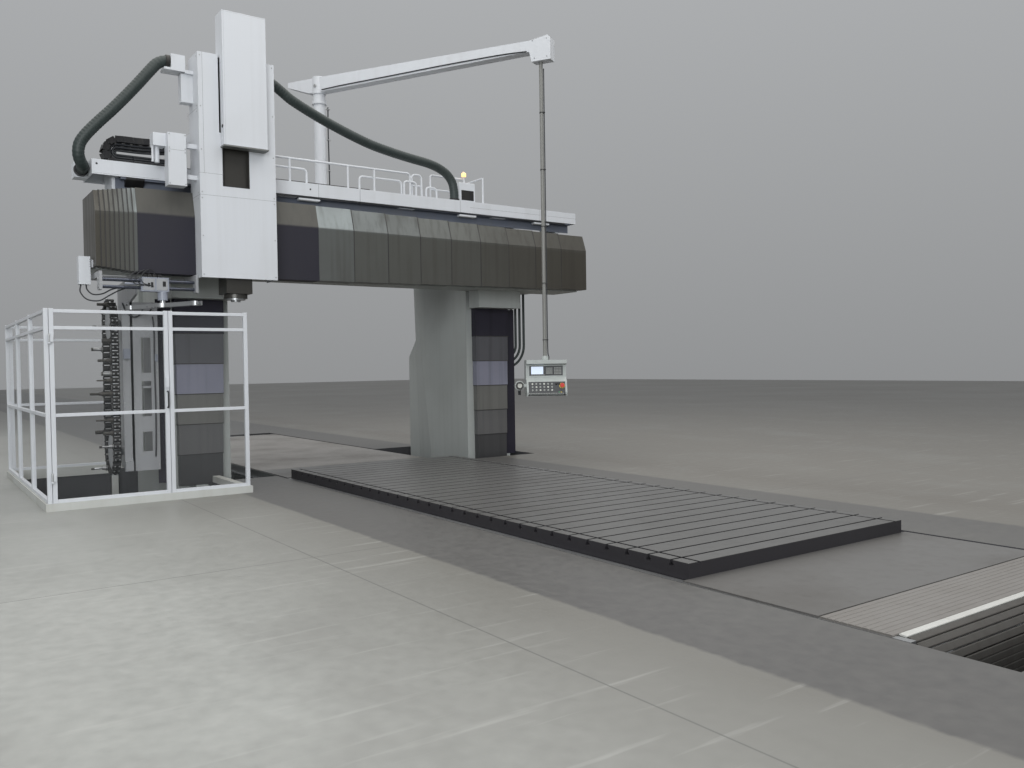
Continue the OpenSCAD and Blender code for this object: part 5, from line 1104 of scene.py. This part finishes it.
# Hand wheel unit: black rim, pale dial and coiled lead
wheel_at = on_pendant(-0.430, -0.150, -0.115)
rim = [(0.0, 0.0602), (0.0035, 0.0602), (0.0035, 0.050)]
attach(turned("wheel_rim", rim, wheel_at - pendant_y * 0.0445, -pendant_y, black, 40), "hand_wheel_body")
dial = [(wheel_at - pendant_y * 0.0475, wheel_at - pendant_y * 0.0495)]
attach(rods("wheel_dial", dial, 0.036, key_pale, 32), "hand_wheel_body")
coil = [on_pendant(-0.430 + 0.020 * math.cos(a), -0.125 + 0.020 * math.sin(a), -0.190 - 0.0016 * a)
        for a in np.linspace(0, 14 * np.pi, 150)]
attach(sweep("wheel_lead", coil, 0.004, cable, 6), "pendant_body")


# Hoses to the right column
# Four thinner hoses drop from a bracket behind the crossrail and turn into the side of the column.
SIDE_HOSE_R = 0.024
COLUMN_SIDE = 3.080
hose_foot, hose_head, fold_to = level(2.030, 3.000, 1.590)
dress(rubber, "column_hoses")
for i in range(4):
    bend = 0.130 + 0.095 * i
    x = COLUMN_SIDE + 0.014 + bend
    path = [(x, 0.1, z) for z in np.linspace(hose_head, hose_foot + 0.02, 9)]
    path += [(x - bend + bend * math.cos(a), 0.1, hose_foot + bend * math.sin(a))
             for a in np.radians(np.linspace(0, -90, 10))]
    path += [(COLUMN_SIDE, 0.1, hose_foot - bend)]
    hose = ribbed_hose(f"side_hose_{i + 1}", path, SIDE_HOSE_R, 0.024, 0.008, 0.03, 12)
    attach(hose, "base")
    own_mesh(hose)
    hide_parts("column_hoses")


# Link aprons
# Steel slats on a hinged belt carry the pit cover from the table ends over a roller and down. Each
# slat has a rolled lip at both sides.
SLAT = 0.050
THICK = 0.012
ROLLERS_Y = (-10.450, 8.100)
LEVEL_HALF, DROP_HALF = 1.505, 1.440
DROP_SLATS = 12
roller_low, roller_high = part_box("roller_front")
roller_z = (roller_low.z + roller_high.z) / 2
belt_r = roller_high.z - roller_z + 0.0063
slat_steel = finish("slat_steel", (0.33, 0.31, 0.29), rough=0.33, metal=0.6, dirt=(0.10, 0.09, 0.08),
                    patches=0.4)
# Slats where the belt starts to turn over the roller carry a painted highlight, and those further round and
# down into the pit carry painted shade
slat_highlight = finish("slat_painted_highlight", (0.66, 0.66, 0.63), rough=0.28, metal=0.25, dirt=(0.25, 0.23, 0.2),
                   patches=0.3)
slat_shade = finish("slat_painted_shade", (0.085, 0.080, 0.073), rough=0.5, metal=0.3, dirt=(0.04, 0.036, 0.03),
                    streaks=0.4)
dress(slat_steel, "apron_front", "apron_rear")


def slat_places(roller_y, flat, way):
    """Place (y, z), angle, half width and tone of the slats along the flat length, then of those
    round the roller and down; way is the roller's side."""
    flat_run = [(roller_y - way * (i + 0.5) * SLAT, roller_z + belt_r, 0.0, LEVEL_HALF, 0)
                for i in range(int(flat / SLAT))]
    count = round(math.pi / 2 * belt_r / SLAT)
    drop = []
    for a in [(i + 0.5) * math.pi / 2 / count for i in range(count)]:
        y, z = roller_y + way * belt_r * math.sin(a), roller_z + belt_r * math.cos(a)
        # Tone 1 is the painted highlight at the start of the turn, tone 2 the painted shade beyond it
        drop.append((y, z, a, DROP_HALF, 1 if a < 0.3 else 2))
    drop += [(roller_y + way * belt_r, roller_z - (i + 0.5) * SLAT, math.pi / 2, DROP_HALF, 2)
             for i in range(DROP_SLATS)]
    return flat_run, drop


def slat_mesh(name, places, way):
    """Section u across and v out of each slat, at y + way u cos a + way v sin a and
    z - u sin a + v cos a, drawn out from -half to half in x."""
    w = SLAT / 2 - 0.0012
    u, v = np.array([(-w, 0), (-w, THICK * 0.6), (-w + 0.003, THICK * 0.92), (-w + 0.007, THICK),
                     (w - 0.007, THICK), (w - 0.003, THICK * 0.92), (w, THICK * 0.6), (w, 0)]).T
    n = len(u)
    y, z, a, half, tone = np.array(places).T[:, :, None]
    spread = np.where((a > 0) & (v > 0), 1 + 0.6 * THICK / belt_r, 1.0) * u
    outline_y = y + way * (spread * np.cos(a) + v * np.sin(a))
    outline_z = z - spread * np.sin(a) + v * np.cos(a)
    ends = [np.stack([side * half + 0 * outline_y, outline_y, outline_z], 2) for side in (-1, 1)]
    vertices = np.concatenate(ends, 1).reshape(-1, 3)
    slat = [(i, (i + 1) % n, n + (i + 1) % n, n + i) for i in range(n)]
    slat += [range(n - 1, -1, -1), range(n, 2 * n)]
    faces = [[2 * n * k + i for i in face][::-way] for k in range(len(places)) for face in slat]
    piece = mesh_object(name, vertices, faces, slat_steel)
    piece.data.materials.append(slat_highlight)
    piece.data.materials.append(slat_shade)
    piece.data.polygons.foreach_set("material_index", np.repeat(tone.ravel().astype(np.int32), n + 2))
    return piece


plate_low, plate_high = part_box("end_plates")
front_y, rear_y = ROLLERS_Y
flat_run, drop = slat_places(front_y, plate_low.y - front_y, -1)
front_slats = slat_mesh("front_slats", flat_run + drop, -1)
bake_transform(front_slats)
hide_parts("apron_front")
flat_run, drop = slat_places(rear_y, rear_y - plate_high.y, 1)
rear_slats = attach(slat_mesh("rear_slats", flat_run, 1), "base")
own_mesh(rear_slats)
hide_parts("apron_rear")
rear_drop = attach(slat_mesh("rear_slats_drop", drop, 1), "base")
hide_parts("apron_rear")


# Light
# Broad soft light from above, a cooler one from behind the camera and pale grey surroundings.
def area_light(name, at, aim, size, power, colour):
    """Rectangular lamp at a place, turned to the point that it is aimed at."""
    data = bpy.data.lights.new(name, "AREA")
    data.shape, data.energy, data.color = "RECTANGLE", power, colour
    data.size, data.size_y = size
    lamp = bpy.data.objects.new(name, data)
    lamp.location = at
    lamp.rotation_euler = (Vector(aim) - Vector(at)).to_track_quat("-Z", "Y").to_euler()
    scene.collection.objects.link(lamp)


area_light("overhead", (0, -4, 15), (0, -3, 0), (22, 22), 2600, (1.0, 0.98, 0.94))
area_light("camera_side", (-14, -22, 8), (0, 0, 3), (12, 9), 2600, (0.95, 0.98, 1.0))
world = bpy.data.worlds.new("surroundings")
world.use_nodes = True
sky = world.node_tree
toward = add(sky, "SeparateXYZ", {"Vector": add(sky, "TexCoord").outputs["Generated"]})
height = sharpen(sky, toward.outputs[2], -0.05, 0.45)
pale = blend_colour(sky, height, (0.50, 0.51, 0.52, 1), (0.78, 0.80, 0.82, 1))
sky.links.new(pale, sky.nodes["Background"].inputs["Color"])
sky.nodes["Background"].inputs["Strength"].default_value = 0.55
scene.world = world
